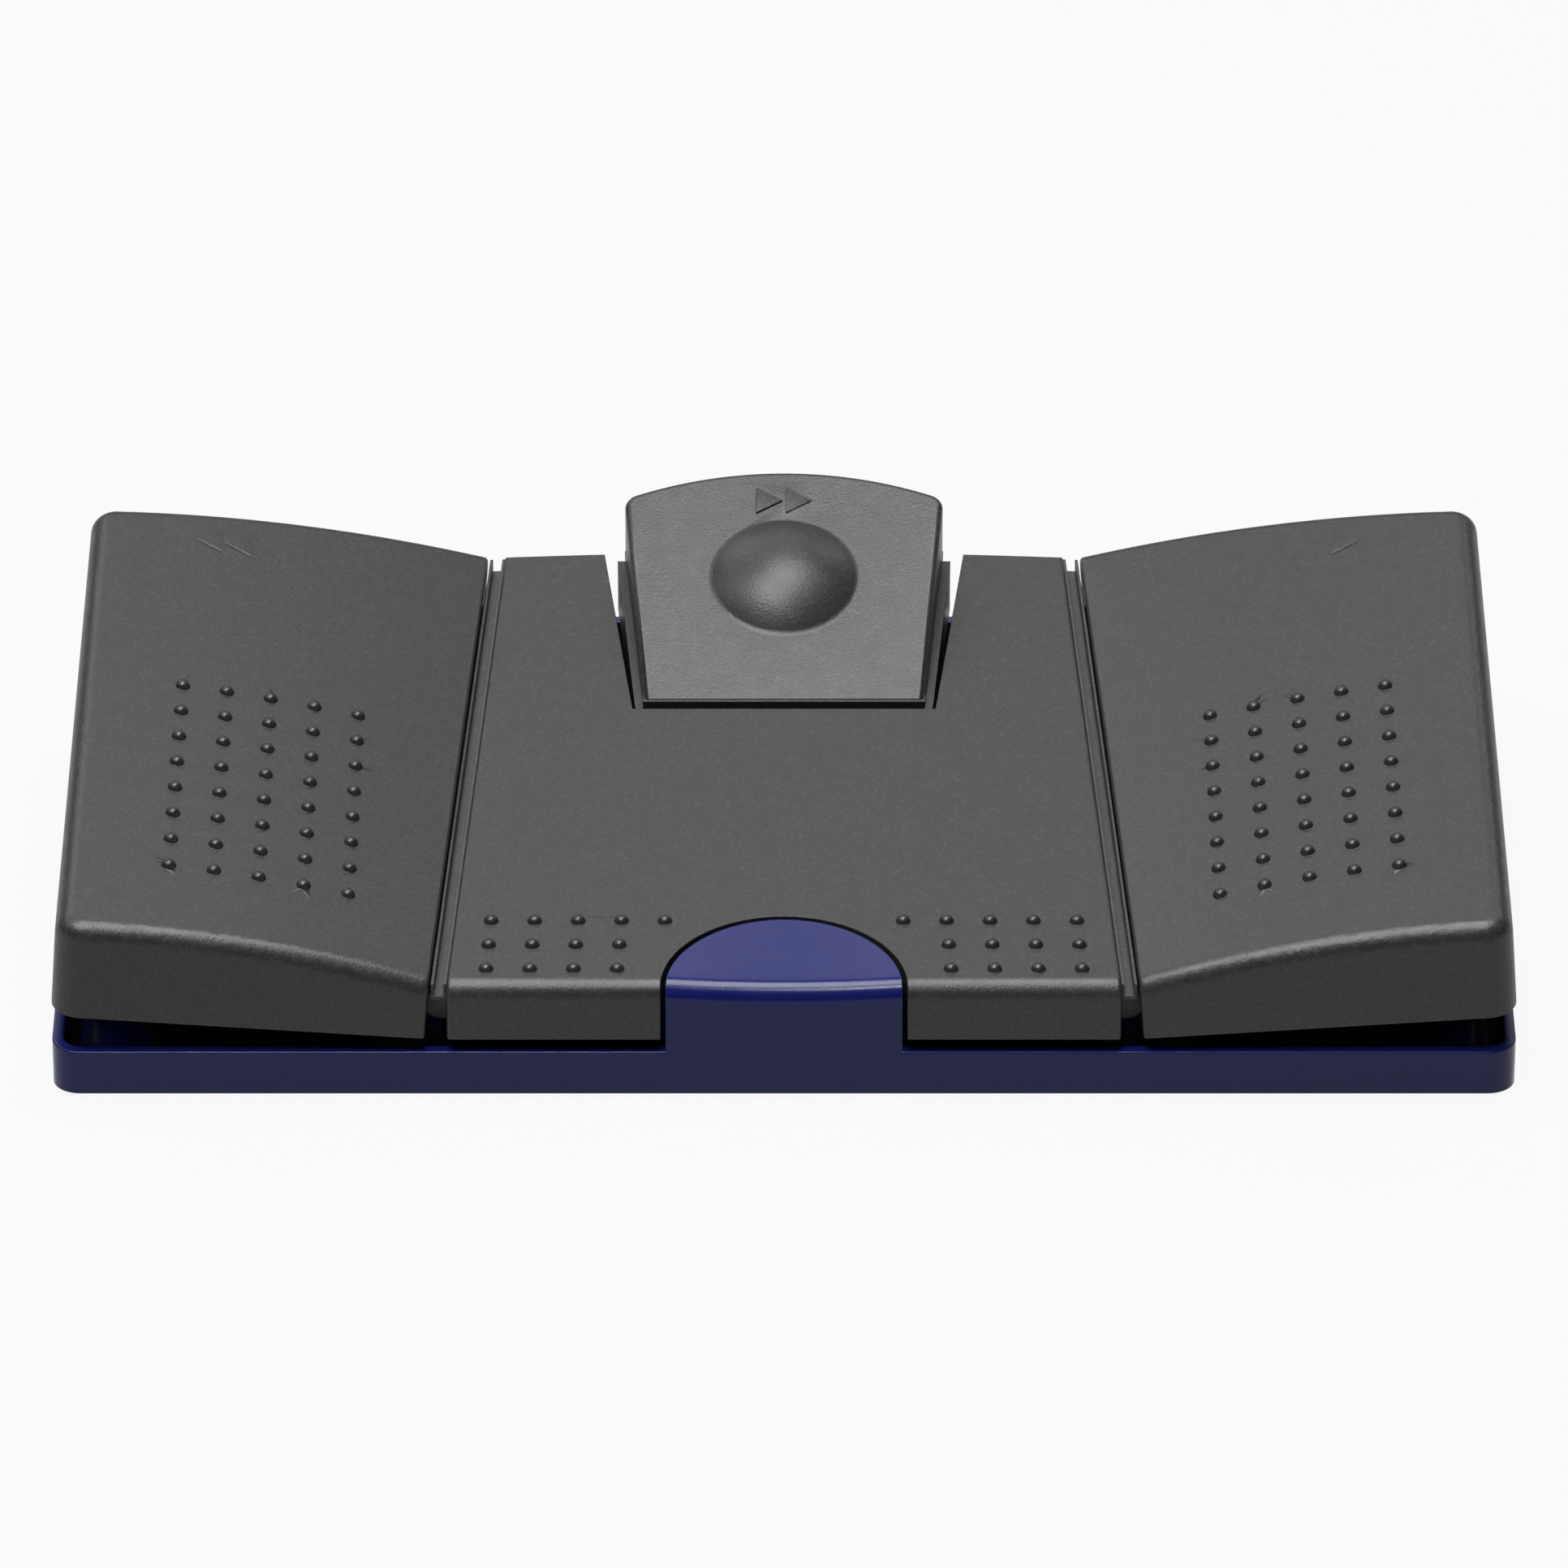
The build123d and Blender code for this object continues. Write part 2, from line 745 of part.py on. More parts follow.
def top_block():
    plan = block_plan(0, block_front)
    rear = [v for v in plan.vertices() if v.Y > block_front + 1]
    upper = under_face(prism(fillet(rear, block_corner), 0, tall))
    rim = [e for e in edges_on(upper, face_plane()) if (e @ 0.5).Y > block_front + 1]
    return fillet(rim, block_round)


def lower_block():
    # What is under the face: a narrow ledge in front, and a plate on each side that reaches further forward
    ledge = below(prism(block_plan(0, block_front - ledge_depth), 0, tall), deck_height + face_rise - ledge_drop)
    body = prism(block_plan(plate_width, block_front), 0, tall)
    body -= block(-tray_width, tray_width, plate_rear, far, 0, tall)
    front = block_front - plate_toe
    toe = flat((block_x(front), front), (block_x(front) + plate_width, front),
               (block_x(block_front) + plate_width, block_front + sunk), (block_x(block_front), block_front + sunk))
    body += [prism(toe, 0, tall), mirror(prism(toe, 0, tall), about=Plane.YZ)]
    return ledge + below(body, deck_height - plate_drop)


def make_top_pedal():
    pedal = above(top_block() + lower_block(), rim_height + shadow_gap) + dome()
    inner = offset(block_plan(0, block_front), -shell_wall, kind=Kind.INTERSECTION)
    pedal -= under_top(prism(inner, 0, tall), shell_wall)
    skin = shell_wall / 2
    seat = top_spring_base + spring_length + clearance - drop_at(top_spring_depth - top_axis_depth, top_travel)
    tip = plunger_top() + clearance - drop_at(switch_lever, top_travel)
    posts = [
        (Pos(0, top_spring_depth) * Circle(spring_seat_radius), seat),
        (Pos(0, top_spring_depth) * Circle(spring_nub_radius), seat - spring_nub_height),
        (Pos(0, top_axis_depth + switch_lever) * Rectangle(*reversed(actuator_size)), tip),
    ]
    for side in (-1, 1):
        place = Pos(side * top_pad_place[0], top_pad_place[1])
        posts.append((place * Circle(stop_post_radius), top_pad_base + pad_thickness + clearance))
    hanging = [under_top(prism(plan, low, tall), skin) for plan, low in posts]
    finger = block(-top_finger_half, top_finger_half, top_finger_front, block_front + shell_wall,
                   top_finger_bottom(), top_finger_bottom() + finger_thickness)
    raised = under_face(prism(block_plan(0, block_front), 0, tall), -mark_rise)
    raised -= under_face(prism(block_plan(0, block_front), 0, tall), skin)
    marks = [prism(mark, 0, tall) & raised for mark in triangle_mark((0, top_mark_centre), 1, 2)]
    pedal += hanging + [finger] + marks
    hole = Pos(0, top_axis_depth, top_axis_z()) * Rot(0, 90, 0)
    pedal -= hole * Cylinder(pin_radius + running_fit, 2 * tray_width / 3)
    return pedal.rotate(top_hinge_axis(), top_travel)


def make_top_hinge_pin():
    half = ear_x() + ear_width
    return Pos(0, top_axis_depth, top_axis_z()) * Rot(0, 90, 0) * Cylinder(pin_radius, 2 * half)


# Springs and pads
def make_spring(x, y, base):
    pitch = (spring_length - 2 * wire_radius) / spring_turns
    path = Helix(pitch=pitch, height=pitch * spring_turns, radius=spring_radius)
    section = Plane(origin=path @ 0, z_dir=path % 0) * Circle(wire_radius)
    coil = Pos(0, 0, wire_radius) * sweep(section, path=path, is_frenet=True)
    ground = Pos(0, 0, spring_length / 2) * Box(6 * spring_radius, 6 * spring_radius, spring_length - wire_radius)
    return Pos(x, y, base) * (coil & ground)


def make_pad(x, y, base):
    pad = post(x, y, pad_radius, base, base + pad_thickness)
    top = pad.edges().sort_by(Axis.Z)[-1]
    return fillet(top, pad_round)


# Switches and board
def board_top():
    return tray_floor + standoff_height + board_thickness


def switch_spots():
    y = side_switch_depth
    x = groove_x(y) + switch_lever
    return {
        "left": Pos(-x, y - plunger_offset, board_top()) * Rot(0, 0, 90),
        "right": Pos(x, y - plunger_offset, board_top()) * Rot(0, 0, 90),
        "top": Pos(-plunger_offset, top_axis_depth + switch_lever, board_top()),
    }


def make_switch_body():
    body = Pos(0, 0, switch_height / 2) * Box(switch_length, switch_thickness, switch_height)
    body = fillet(body.edges().filter_by(Axis.Z), switch_round)
    for side in (-1, 1):
        hole = Pos(side * switch_hole_spacing / 2, 0, switch_hole_height) * Rot(90, 0, 0)
        body -= hole * Cylinder(switch_hole, 2 * switch_thickness)
    depth = plunger_inside + plunger_overtravel
    return body - post(plunger_offset, 0, plunger_radius + running_fit, switch_height - depth, switch_height + 1)


def make_plunger():
    stem = post(plunger_offset, 0, plunger_radius, switch_height - plunger_inside, switch_height + plunger_proud)
    return fillet(stem.edges().sort_by(Axis.Z)[-1], plunger_radius / 3)


def blade_places():
    return [index * blade_spacing for index in (-1, 0, 1)]


def make_terminals():
    low = -board_thickness - blade_tail
    half_w, half_t = blade_width / 2, blade_thickness / 2
    return [block(x - half_w, x + half_w, -half_t, half_t, low, 0) for x in blade_places()]


def make_circuit_board():
    top = board_top()
    board = block(-board_half, board_half, board_front, board_rear, top - board_thickness, top)
    board = fillet(board.edges().filter_by(Axis.Z), board_corner)
    half_w, half_t = blade_width / 2 + blade_play, blade_thickness / 2 + blade_play
    for spot in switch_spots().values():
        for x in blade_places():
            slot = block(x - half_w, x + half_w, -half_t, half_t, -2 * board_thickness, board_thickness)
            board -= spot * slot
    for x, y in board_screw_places:
        for side in (-1, 1):
            board -= post(side * x, y, small_shank + screw_clearance, 0, tall)
    return board


def make_connector():
    width, depth, height = connector_size
    shell = Pos(0, 0, height / 2) * Box(width, depth, height)
    shell -= Pos(0, 0, height / 2 + connector_wall) * Box(width - 2 * connector_wall, depth - 2 * connector_wall, height)
    for index in (-1, 0, 1):
        pin = Box(header_pin_width, header_pin_width, height - header_pin_setback)
        shell += Pos(index * header_pin_spacing, 0, (height - header_pin_setback) / 2) * pin
    return Pos(*connector_place, board_top()) * shell


# Fasteners, ballast, feet and grommet
def pan_screw(x, y, seat, shank, length, head, head_height, up):
    # up is 1 for a screw whose head is on top and -1 for one driven from below
    low, high = sorted((seat, seat + up * head_height))
    cap = post(x, y, head, low, high)
    outer = cap.edges().filter_by(GeomType.CIRCLE).sort_by(Axis.Z)[-1 if up > 0 else 0]
    cap = fillet(outer, head_height / 3)
    low, high = sorted((seat, seat - up * length))
    screw = cap + post(x, y, shank, low, high)
    slot_half = head_height / 4
    mid = seat + up * head_height
    arm, half = head * cross_share, cross_half_width
    cross = block(x - arm, x + arm, y - half, y + half, mid - slot_half, mid + slot_half)
    cross += block(x - half, x + half, y - arm, y + arm, mid - slot_half, mid + slot_half)
    return screw - cross


def make_cover_screws():
    seat = head_recess + screw_head_height
    length = boss_seat + thread_length - thread_play - seat
    return [
        pan_screw(side * x, y, seat, screw_shank, length, screw_head, screw_head_height, -1)
        for x, y in cover_screw_places for side in (-1, 1)
    ]


def make_board_screws():
    length = board_thickness + small_thread - thread_play
    return [
        pan_screw(side * x, y, board_top(), small_shank, length, small_head, small_head_height, 1)
        for x, y in board_screw_places for side in (-1, 1)
    ]


def make_ballast_screws():
    seat = tray_floor + ballast_thickness
    return [
        pan_screw(side * x, y, seat, small_shank, small_thread - thread_play, ballast_head, small_head_height, 1)
        for x, y in ballast_screw_places for side in (-1, 1)
    ]


def make_ballast_plate():
    plate = block(ballast_low[0], ballast_high[0], ballast_low[1], ballast_high[1],
                  tray_floor, tray_floor + ballast_thickness)
    plate = chamfer(plate.edges().filter_by(Axis.Z), ballast_corner)
    for x, y in ballast_screw_places:
        plate -= post(x, y, ballast_boss_radius + ballast_hole_play, 0, tall)
    return plate


def make_foot(x, y):
    foot = post(x, y, foot_radius, foot_recess - foot_thickness, foot_recess)
    return chamfer(foot.edges().sort_by(Axis.Z)[0], foot_chamfer)


def make_grommet():
    flange = Cylinder(grommet_flange_radius, grommet_flange_thickness)
    neck = tray_wall + 2 * grommet_play
    shift = (neck + grommet_flange_thickness) / 2
    body = Cylinder(grommet_body_radius, neck) + Pos(0, 0, shift) * flange + Pos(0, 0, -shift) * flange
    body -= Cylinder(cord_bore_radius, 4 * tray_wall)
    return Pos(0, tray_depth - tray_wall / 2, inlet_height) * Rot(90, 0, 0) * body


def build_nodes():
    nodes = {
        "base_tray": make_base_tray(),
        "centre_cover": make_centre_cover(),
        "right_hinge_strip": make_hinge_strip(),
        "right_hinge_pin": make_hinge_pin(),
        "top_hinge_pin": make_top_hinge_pin(),
        "right_pedal": make_side_pedal(1, 1),
        "left_pedal": mirror(make_side_pedal(1, 2), about=Plane.YZ),
        "top_pedal": make_top_pedal(),
        "right_return_spring": make_spring(*side_spring_place, side_spring_base),
        "left_return_spring": make_spring(-side_spring_place[0], side_spring_place[1], side_spring_base),
        "top_return_spring": make_spring(0, top_spring_depth, top_spring_base),
        "circuit_board": make_circuit_board(),
        "cable_connector": make_connector(),
        "cable_grommet": make_grommet(),
        "cover_screws": make_cover_screws(),
        "board_screws": make_board_screws(),
        "ballast_screws": make_ballast_screws(),
        "right_ballast_plate": make_ballast_plate(),
        "right_stop_pads": [make_pad(x, y, side_pad_base) for x, y in side_pad_places],
        "left_stop_pads": [make_pad(-x, y, side_pad_base) for x, y in side_pad_places],
        "top_stop_pads": [make_pad(s * top_pad_place[0], top_pad_place[1], top_pad_base) for s in (-1, 1)],
    }
    for name in ("hinge_strip", "hinge_pin", "ballast_plate"):
        nodes["left_" + name] = mirror(nodes["right_" + name], about=Plane.YZ)
    for name, spot in switch_spots().items():
        nodes[name + "_switch_body"] = spot * make_switch_body()
        nodes[name + "_switch_plunger"] = spot * make_plunger()
        nodes[name + "_switch_terminals"] = [spot * blade for blade in make_terminals()]
    for end, (x, y) in foot_places.items():
        nodes[end + "_right_foot"] = make_foot(x, y)
        nodes[end + "_left_foot"] = make_foot(-x, y)
    return nodes


def as_solids(piece):
    pieces = piece if isinstance(piece, list) else [piece]
    return [solid for each in pieces for solid in each.solids()]


def main():
    nodes = {name: as_solids(piece) for name, piece in build_nodes().items()}
    whole = Compound([solid for solids in nodes.values() for solid in solids]).bounding_box()
    shift = Pos(-(whole.min.X + whole.max.X) / 2, -(whole.min.Y + whole.max.Y) / 2, -whole.min.Z)
    os.makedirs("parts", exist_ok=True)
    for name, solids in nodes.items():
        moved = [shift * solid for solid in solids]
        export_step(moved[0] if len(moved) == 1 else Compound(moved), "parts/" + name + ".step")
    print("shift", shift.position, "size", whole.size)


main()
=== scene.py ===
"""Foot pedal switch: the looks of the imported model, its studio and its camera."""

import json
import logging
import math
from dataclasses import dataclass, field
from enum import Enum
from typing import Any, Callable

import bmesh
import bpy
from mathutils import Matrix, Vector

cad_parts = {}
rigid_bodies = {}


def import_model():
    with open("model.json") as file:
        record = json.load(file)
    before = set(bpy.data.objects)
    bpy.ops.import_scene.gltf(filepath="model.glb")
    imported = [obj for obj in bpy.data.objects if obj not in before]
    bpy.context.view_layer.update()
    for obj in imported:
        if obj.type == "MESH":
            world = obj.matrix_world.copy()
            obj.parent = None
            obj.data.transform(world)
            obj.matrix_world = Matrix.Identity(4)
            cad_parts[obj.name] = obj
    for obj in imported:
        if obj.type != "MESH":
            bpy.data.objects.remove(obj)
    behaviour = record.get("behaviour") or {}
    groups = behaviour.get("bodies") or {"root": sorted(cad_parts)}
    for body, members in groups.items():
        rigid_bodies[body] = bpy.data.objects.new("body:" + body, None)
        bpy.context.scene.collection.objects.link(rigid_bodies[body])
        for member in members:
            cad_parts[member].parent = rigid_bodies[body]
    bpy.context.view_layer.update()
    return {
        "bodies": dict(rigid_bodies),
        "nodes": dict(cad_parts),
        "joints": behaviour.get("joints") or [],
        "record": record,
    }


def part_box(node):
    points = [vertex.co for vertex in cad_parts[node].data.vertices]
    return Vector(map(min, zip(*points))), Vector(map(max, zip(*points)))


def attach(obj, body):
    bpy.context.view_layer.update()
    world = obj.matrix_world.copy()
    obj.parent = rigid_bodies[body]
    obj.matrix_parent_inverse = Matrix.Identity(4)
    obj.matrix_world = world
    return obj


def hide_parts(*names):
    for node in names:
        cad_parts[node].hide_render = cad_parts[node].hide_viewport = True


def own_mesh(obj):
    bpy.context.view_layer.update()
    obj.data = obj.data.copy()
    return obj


LOG = logging.getLogger("foot_pedal")
MM = 0.001
Colour = tuple[float, float, float]
# The frame's own materials have the slots' bare names, so the finishes get longer ones
FINISH_SUFFIX = "_finish"


class Side(Enum):
    """The two sides of the switch, with the sign of X there."""

    LEFT = -1
    RIGHT = 1

    @property
    def word(self) -> str:
        """Return the side's name as the nodes spell it."""
        return self.name.lower()


class Polish(Enum):
    """How a moulded surface was left by its tool."""

    GRAINED = "grained"
    SATIN = "satin"
    SMOOTH = "smooth"


# Shader nodes


def add_node(tree: bpy.types.NodeTree, kind: str, inputs: dict[Any, Any] | None = None,
             **settings: Any) -> bpy.types.Node:
    """Add a node, set it and feed its inputs.

    Args:
        tree: The node tree that gets the node.
        kind: The node's type name.
        inputs: For each input, by name or index, a plain value or the output socket that feeds it.
        **settings: The node's own settings.

    Returns:
        The new node.
    """
    node = tree.nodes.new(kind)
    for name, value in settings.items():
        setattr(node, name, value)
    for key, value in (inputs or {}).items():
        if isinstance(value, bpy.types.NodeSocket):
            tree.links.new(value, node.inputs[key])
        else:
            node.inputs[key].default_value = value
    return node


def math_node(tree: bpy.types.NodeTree, operation: str, first: Any, second: Any = 0.0,
              clamp: bool = False) -> bpy.types.NodeSocket:
    """Add a Math node.

    Args:
        tree: The node tree.
        operation: The Math node's operation.
        first: First value or socket.
        second: Second value or socket.
        clamp: Whether the result is held between 0 and 1.

    Returns:
        The result's socket.
    """
    node = add_node(tree, "ShaderNodeMath", {0: first, 1: second}, operation=operation, use_clamp=clamp)
    return node.outputs[0]


def mix_colour(tree: bpy.types.NodeTree, factor: Any, first: Any, second: Any) -> bpy.types.NodeSocket:
    """Blend two colours.

    Args:
        tree: The node tree.
        factor: Share of the second colour, a value or a socket.
        first: First colour or socket.
        second: Second colour or socket.

    Returns:
        The blended colour's socket.
    """
    node = add_node(tree, "ShaderNodeMix", {0: factor, 6: first, 7: second}, data_type="RGBA")
    return node.outputs[2]


def remap(tree: bpy.types.NodeTree, value: Any, low: float, high: float, to_low: float = 0.0,
          to_high: float = 1.0) -> bpy.types.NodeSocket:
    """Spread a range of a value over another range, held at its ends.

    Args:
        tree: The node tree.
        value: The socket to read.
        low: Value that becomes to_low.
        high: Value that becomes to_high.
        to_low: Lower result.
        to_high: Upper result.

    Returns:
        The result's socket.
    """
    inputs = {0: value, 1: low, 2: high, 3: to_low, 4: to_high}
    return add_node(tree, "ShaderNodeMapRange", inputs, clamp=True).outputs[0]


def rgba(colour: Colour) -> tuple[float, float, float, float]:
    """Return the colour with full opacity."""
    return (*colour, 1.0)


@dataclass
class ShaderGroups:
    """The node groups that the finishes share, each built once."""

    made: dict[str, bpy.types.ShaderNodeTree] = field(default_factory=dict)

    def start(self, name: str, inputs: list[tuple[str, str, float | None]],
              outputs: list[tuple[str, str]]) -> tuple[bpy.types.ShaderNodeTree, Any, Any]:
        """Start a group with its sockets.

        Args:
            name: The group's name.
            inputs: Name, socket type and default of each input.
            outputs: Name and socket type of each output.

        Returns:
            The group, its input node and its output node.
        """
        tree = bpy.data.node_groups.new(name, "ShaderNodeTree")
        for label, kind, default in inputs:
            socket = tree.interface.new_socket(name=label, in_out="INPUT", socket_type=kind)
            if default is not None:
                socket.default_value = default
        for label, kind in outputs:
            tree.interface.new_socket(name=label, in_out="OUTPUT", socket_type=kind)
        self.made[name] = tree
        return tree, tree.nodes.new("NodeGroupInput"), tree.nodes.new("NodeGroupOutput")

    def grain(self) -> bpy.types.ShaderNodeTree:
        """Return the fine spark-eroded grain of the moulds: height, light specks and slow change of tone."""
        if "MouldedGrain" in self.made:
            return self.made["MouldedGrain"]
        tree, start, end = self.start(
            "MouldedGrain",
            [("Vector", "NodeSocketVector", None), ("Size", "NodeSocketFloat", 0.0004)],
            [("Height", "NodeSocketFloat"), ("Speck", "NodeSocketFloat"), ("Tone", "NodeSocketFloat")],
        )
        where = start.outputs["Vector"]
        scale = math_node(tree, "DIVIDE", 1.0, start.outputs["Size"])
        coarse = add_node(tree, "ShaderNodeTexNoise", {"Vector": where, "Scale": scale, "Detail": 2.0,
                                                       "Roughness": 0.6})
        pits = add_node(tree, "ShaderNodeTexVoronoi",
                        {"Vector": where, "Scale": math_node(tree, "MULTIPLY", scale, 1.3)})
        height = math_node(tree, "ADD", coarse.outputs["Fac"],
                           math_node(tree, "MULTIPLY", pits.outputs["Distance"], 0.5))
        speckle = add_node(tree, "ShaderNodeTexNoise",
                           {"Vector": where, "Scale": math_node(tree, "MULTIPLY", scale, 0.8), "Detail": 1.0},
                           noise_dimensions="4D")
        speckle.inputs["W"].default_value = 3.7
        tone = add_node(tree, "ShaderNodeTexNoise", {"Vector": where, "Scale": 240.0, "Detail": 3.0})
        tree.links.new(height, end.inputs["Height"])
        tree.links.new(remap(tree, speckle.outputs["Fac"], 0.5, 0.72), end.inputs["Speck"])
        tree.links.new(tone.outputs["Fac"], end.inputs["Tone"])
        return tree

    def edge(self) -> bpy.types.ShaderNodeTree:
        """Return the softened edges: a rounded normal, and a mask of painted highlight on the corners, broken
        up by noise.
        """
        if "EdgeRub" in self.made:
            return self.made["EdgeRub"]
        tree, start, end = self.start(
            "EdgeRub",
            [("Vector", "NodeSocketVector", None), ("Radius", "NodeSocketFloat", 0.0003),
             ("Amount", "NodeSocketFloat", 0.3)],
            [("Mask", "NodeSocketFloat"), ("Normal", "NodeSocketVector")],
        )
        bevel = add_node(tree, "ShaderNodeBevel", {"Radius": start.outputs["Radius"]}, samples=6)
        flat = add_node(tree, "ShaderNodeNewGeometry")
        facing = add_node(tree, "ShaderNodeVectorMath",
                          {0: bevel.outputs["Normal"], 1: flat.outputs["Normal"]}, operation="DOT_PRODUCT")
        # Painted highlight: where the rounded normal turns away from the face, the mask lights the corner up
        # in the colour
        corner = remap(tree, facing.outputs["Value"], 0.98, 0.8)
        breaks = add_node(tree, "ShaderNodeTexNoise",
                          {"Vector": start.outputs["Vector"], "Scale": 420.0, "Detail": 3.0})
        painted_highlight = math_node(tree, "MULTIPLY", corner, remap(tree, breaks.outputs["Fac"], 0.35, 0.65))
        mask = math_node(tree, "MULTIPLY", painted_highlight, start.outputs["Amount"], clamp=True)
        tree.links.new(mask, end.inputs["Mask"])
        tree.links.new(bevel.outputs["Normal"], end.inputs["Normal"])
        return tree


GROUPS = ShaderGroups()


def place_group(tree: bpy.types.NodeTree, group: bpy.types.ShaderNodeTree,
                inputs: dict[str, Any]) -> bpy.types.Node:
    """Place a shared group in a material.

    Args:
        tree: The material's node tree.
        group: The group to place.
        inputs: Values or sockets for the group's inputs.

    Returns:
        The group's node.
    """
    node = tree.nodes.new("ShaderNodeGroup")
    node.node_tree = group
    for name, value in inputs.items():
        if isinstance(value, bpy.types.NodeSocket):
            tree.links.new(value, node.inputs[name])
        else:
            node.inputs[name].default_value = value
    return node


def start_material(name: str) -> tuple[bpy.types.Material, bpy.types.NodeTree, bpy.types.Node, Any]:
    """Start a material with a Principled shader and Object coordinates.

    Args:
        name: The material's name.

    Returns:
        The material, its tree, the shader's node and the coordinates' socket.
    """
    material = bpy.data.materials.new(name)
    material.use_nodes = True
    tree = material.node_tree
    tree.nodes.clear()
    shader = tree.nodes.new("ShaderNodeBsdfPrincipled")
    output = tree.nodes.new("ShaderNodeOutputMaterial")
    tree.links.new(shader.outputs[0], output.inputs[0])
    where = tree.nodes.new("ShaderNodeTexCoord").outputs["Object"]
    return material, tree, shader, where


@dataclass(frozen=True)
class MouldedPlastic:
    """A moulded plastic with grain, faint specks, softened edges and a painted highlight along them."""

    name: str
    colour: Colour
    polish: Polish = Polish.GRAINED
    roughness: float = 0.4
    specular: float = 0.4
    grain_size: float = 0.0006
    grain_depth: float = 0.00004
    speck: float = 0.35
    edge_radius: float = 0.00035
    # Share of painted highlight laid on the edges
    edge_highlight: float = 0.25

    def material(self) -> bpy.types.Material:
        """Return the plastic's material, made on first use."""
        name = self.name + FINISH_SUFFIX
        if name in bpy.data.materials:
            return bpy.data.materials[name]
        material, tree, shader, where = start_material(name)
        grain = place_group(tree, GROUPS.grain(), {"Vector": where, "Size": self.grain_size})
        edge = place_group(tree, GROUPS.edge(),
                           {"Vector": where, "Radius": self.edge_radius, "Amount": self.edge_highlight})
        dark = tuple(c * 0.92 for c in self.colour)
        light = tuple(min(1.0, c * 1.08) for c in self.colour)
        # Painted highlight: a lighter colour on the edges, where the rounded corners would catch the light
        painted_highlight = tuple(min(1.0, c * 1.8 + 0.01) for c in self.colour)
        tone = mix_colour(tree, grain.outputs["Tone"], rgba(dark), rgba(light))
        speck = math_node(tree, "MULTIPLY", grain.outputs["Speck"], self.speck)
        specked = mix_colour(tree, speck, tone, rgba(tuple(min(1.0, c * 3.0) for c in self.colour)))
        colour = mix_colour(tree, edge.outputs["Mask"], specked, rgba(painted_highlight))
        tree.links.new(colour, shader.inputs["Base Color"])
        spread = 0.01 if self.polish is Polish.SMOOTH else 0.025
        rough = remap(tree, grain.outputs["Tone"], 0.3, 0.7, self.roughness - spread, self.roughness + spread)
        tree.links.new(rough, shader.inputs["Roughness"])
        shader.inputs["Specular IOR Level"].default_value = self.specular
        bump = add_node(tree, "ShaderNodeBump",
                        {"Height": grain.outputs["Height"], "Distance": self.grain_depth,
                         "Strength": 0.15 if self.polish is Polish.SMOOTH else 1.0,
                         "Normal": edge.outputs["Normal"]})
        tree.links.new(bump.outputs[0], shader.inputs["Normal"])
        return material


@dataclass(frozen=True)
class WorkedMetal:
    """A drawn, turned or plated metal."""

    name: str
    colour: Colour
    roughness: float = 0.32
    grain_size: float = 0.0008
    scratch: float = 0.12

    def material(self) -> bpy.types.Material:
        """Return the metal's material, made on first use."""
        name = self.name + FINISH_SUFFIX
        if name in bpy.data.materials:
            return bpy.data.materials[name]
        material, tree, shader, where = start_material(name)
        grain = place_group(tree, GROUPS.grain(), {"Vector": where, "Size": self.grain_size})
        dark = tuple(c * 0.85 for c in self.colour)
        colour = mix_colour(tree, grain.outputs["Tone"], rgba(dark), rgba(self.colour))
        tree.links.new(colour, shader.inputs["Base Color"])
        shader.inputs["Metallic"].default_value = 1.0
        rough = remap(tree, grain.outputs["Height"], 0.3, 0.9, self.roughness, self.roughness + self.scratch)
        tree.links.new(rough, shader.inputs["Roughness"])
        bump = add_node(tree, "ShaderNodeBump", {"Height": grain.outputs["Height"], "Distance": 0.000012})
        tree.links.new(bump.outputs[0], shader.inputs["Normal"])
        return material


@dataclass(frozen=True)
class Rubber:
    """A black moulded rubber with a powdery bloom."""

    name: str
    colour: Colour
    roughness: float = 0.75

    def material(self) -> bpy.types.Material:
        """Return the rubber's material, made on first use."""
        name = self.name + FINISH_SUFFIX
        if name in bpy.data.materials:
            return bpy.data.materials[name]
        material, tree, shader, where = start_material(name)
        grain = place_group(tree, GROUPS.grain(), {"Vector": where, "Size": 0.0006})
        bloom = mix_colour(tree, math_node(tree, "MULTIPLY", grain.outputs["Tone"], 0.4), rgba(self.colour),
                           rgba(tuple(c * 2.2 + 0.01 for c in self.colour)))
        tree.links.new(bloom, shader.inputs["Base Color"])
        shader.inputs["Roughness"].default_value = self.roughness
        bump = add_node(tree, "ShaderNodeBump", {"Height": grain.outputs["Height"], "Distance": 0.00004})
        tree.links.new(bump.outputs[0], shader.inputs["Normal"])
        return material


TRAY_BLUE = MouldedPlastic("tray_blue", (0.005, 0.008, 0.08), Polish.SATIN, roughness=0.22, specular=0.26,
                           grain_depth=0.000008, speck=0.1)
COVER_GREY = MouldedPlastic("cover_grey", (0.018, 0.0195, 0.018))
PEDAL_GREY = MouldedPlastic("pedal_grey", (0.0175, 0.019, 0.0175))
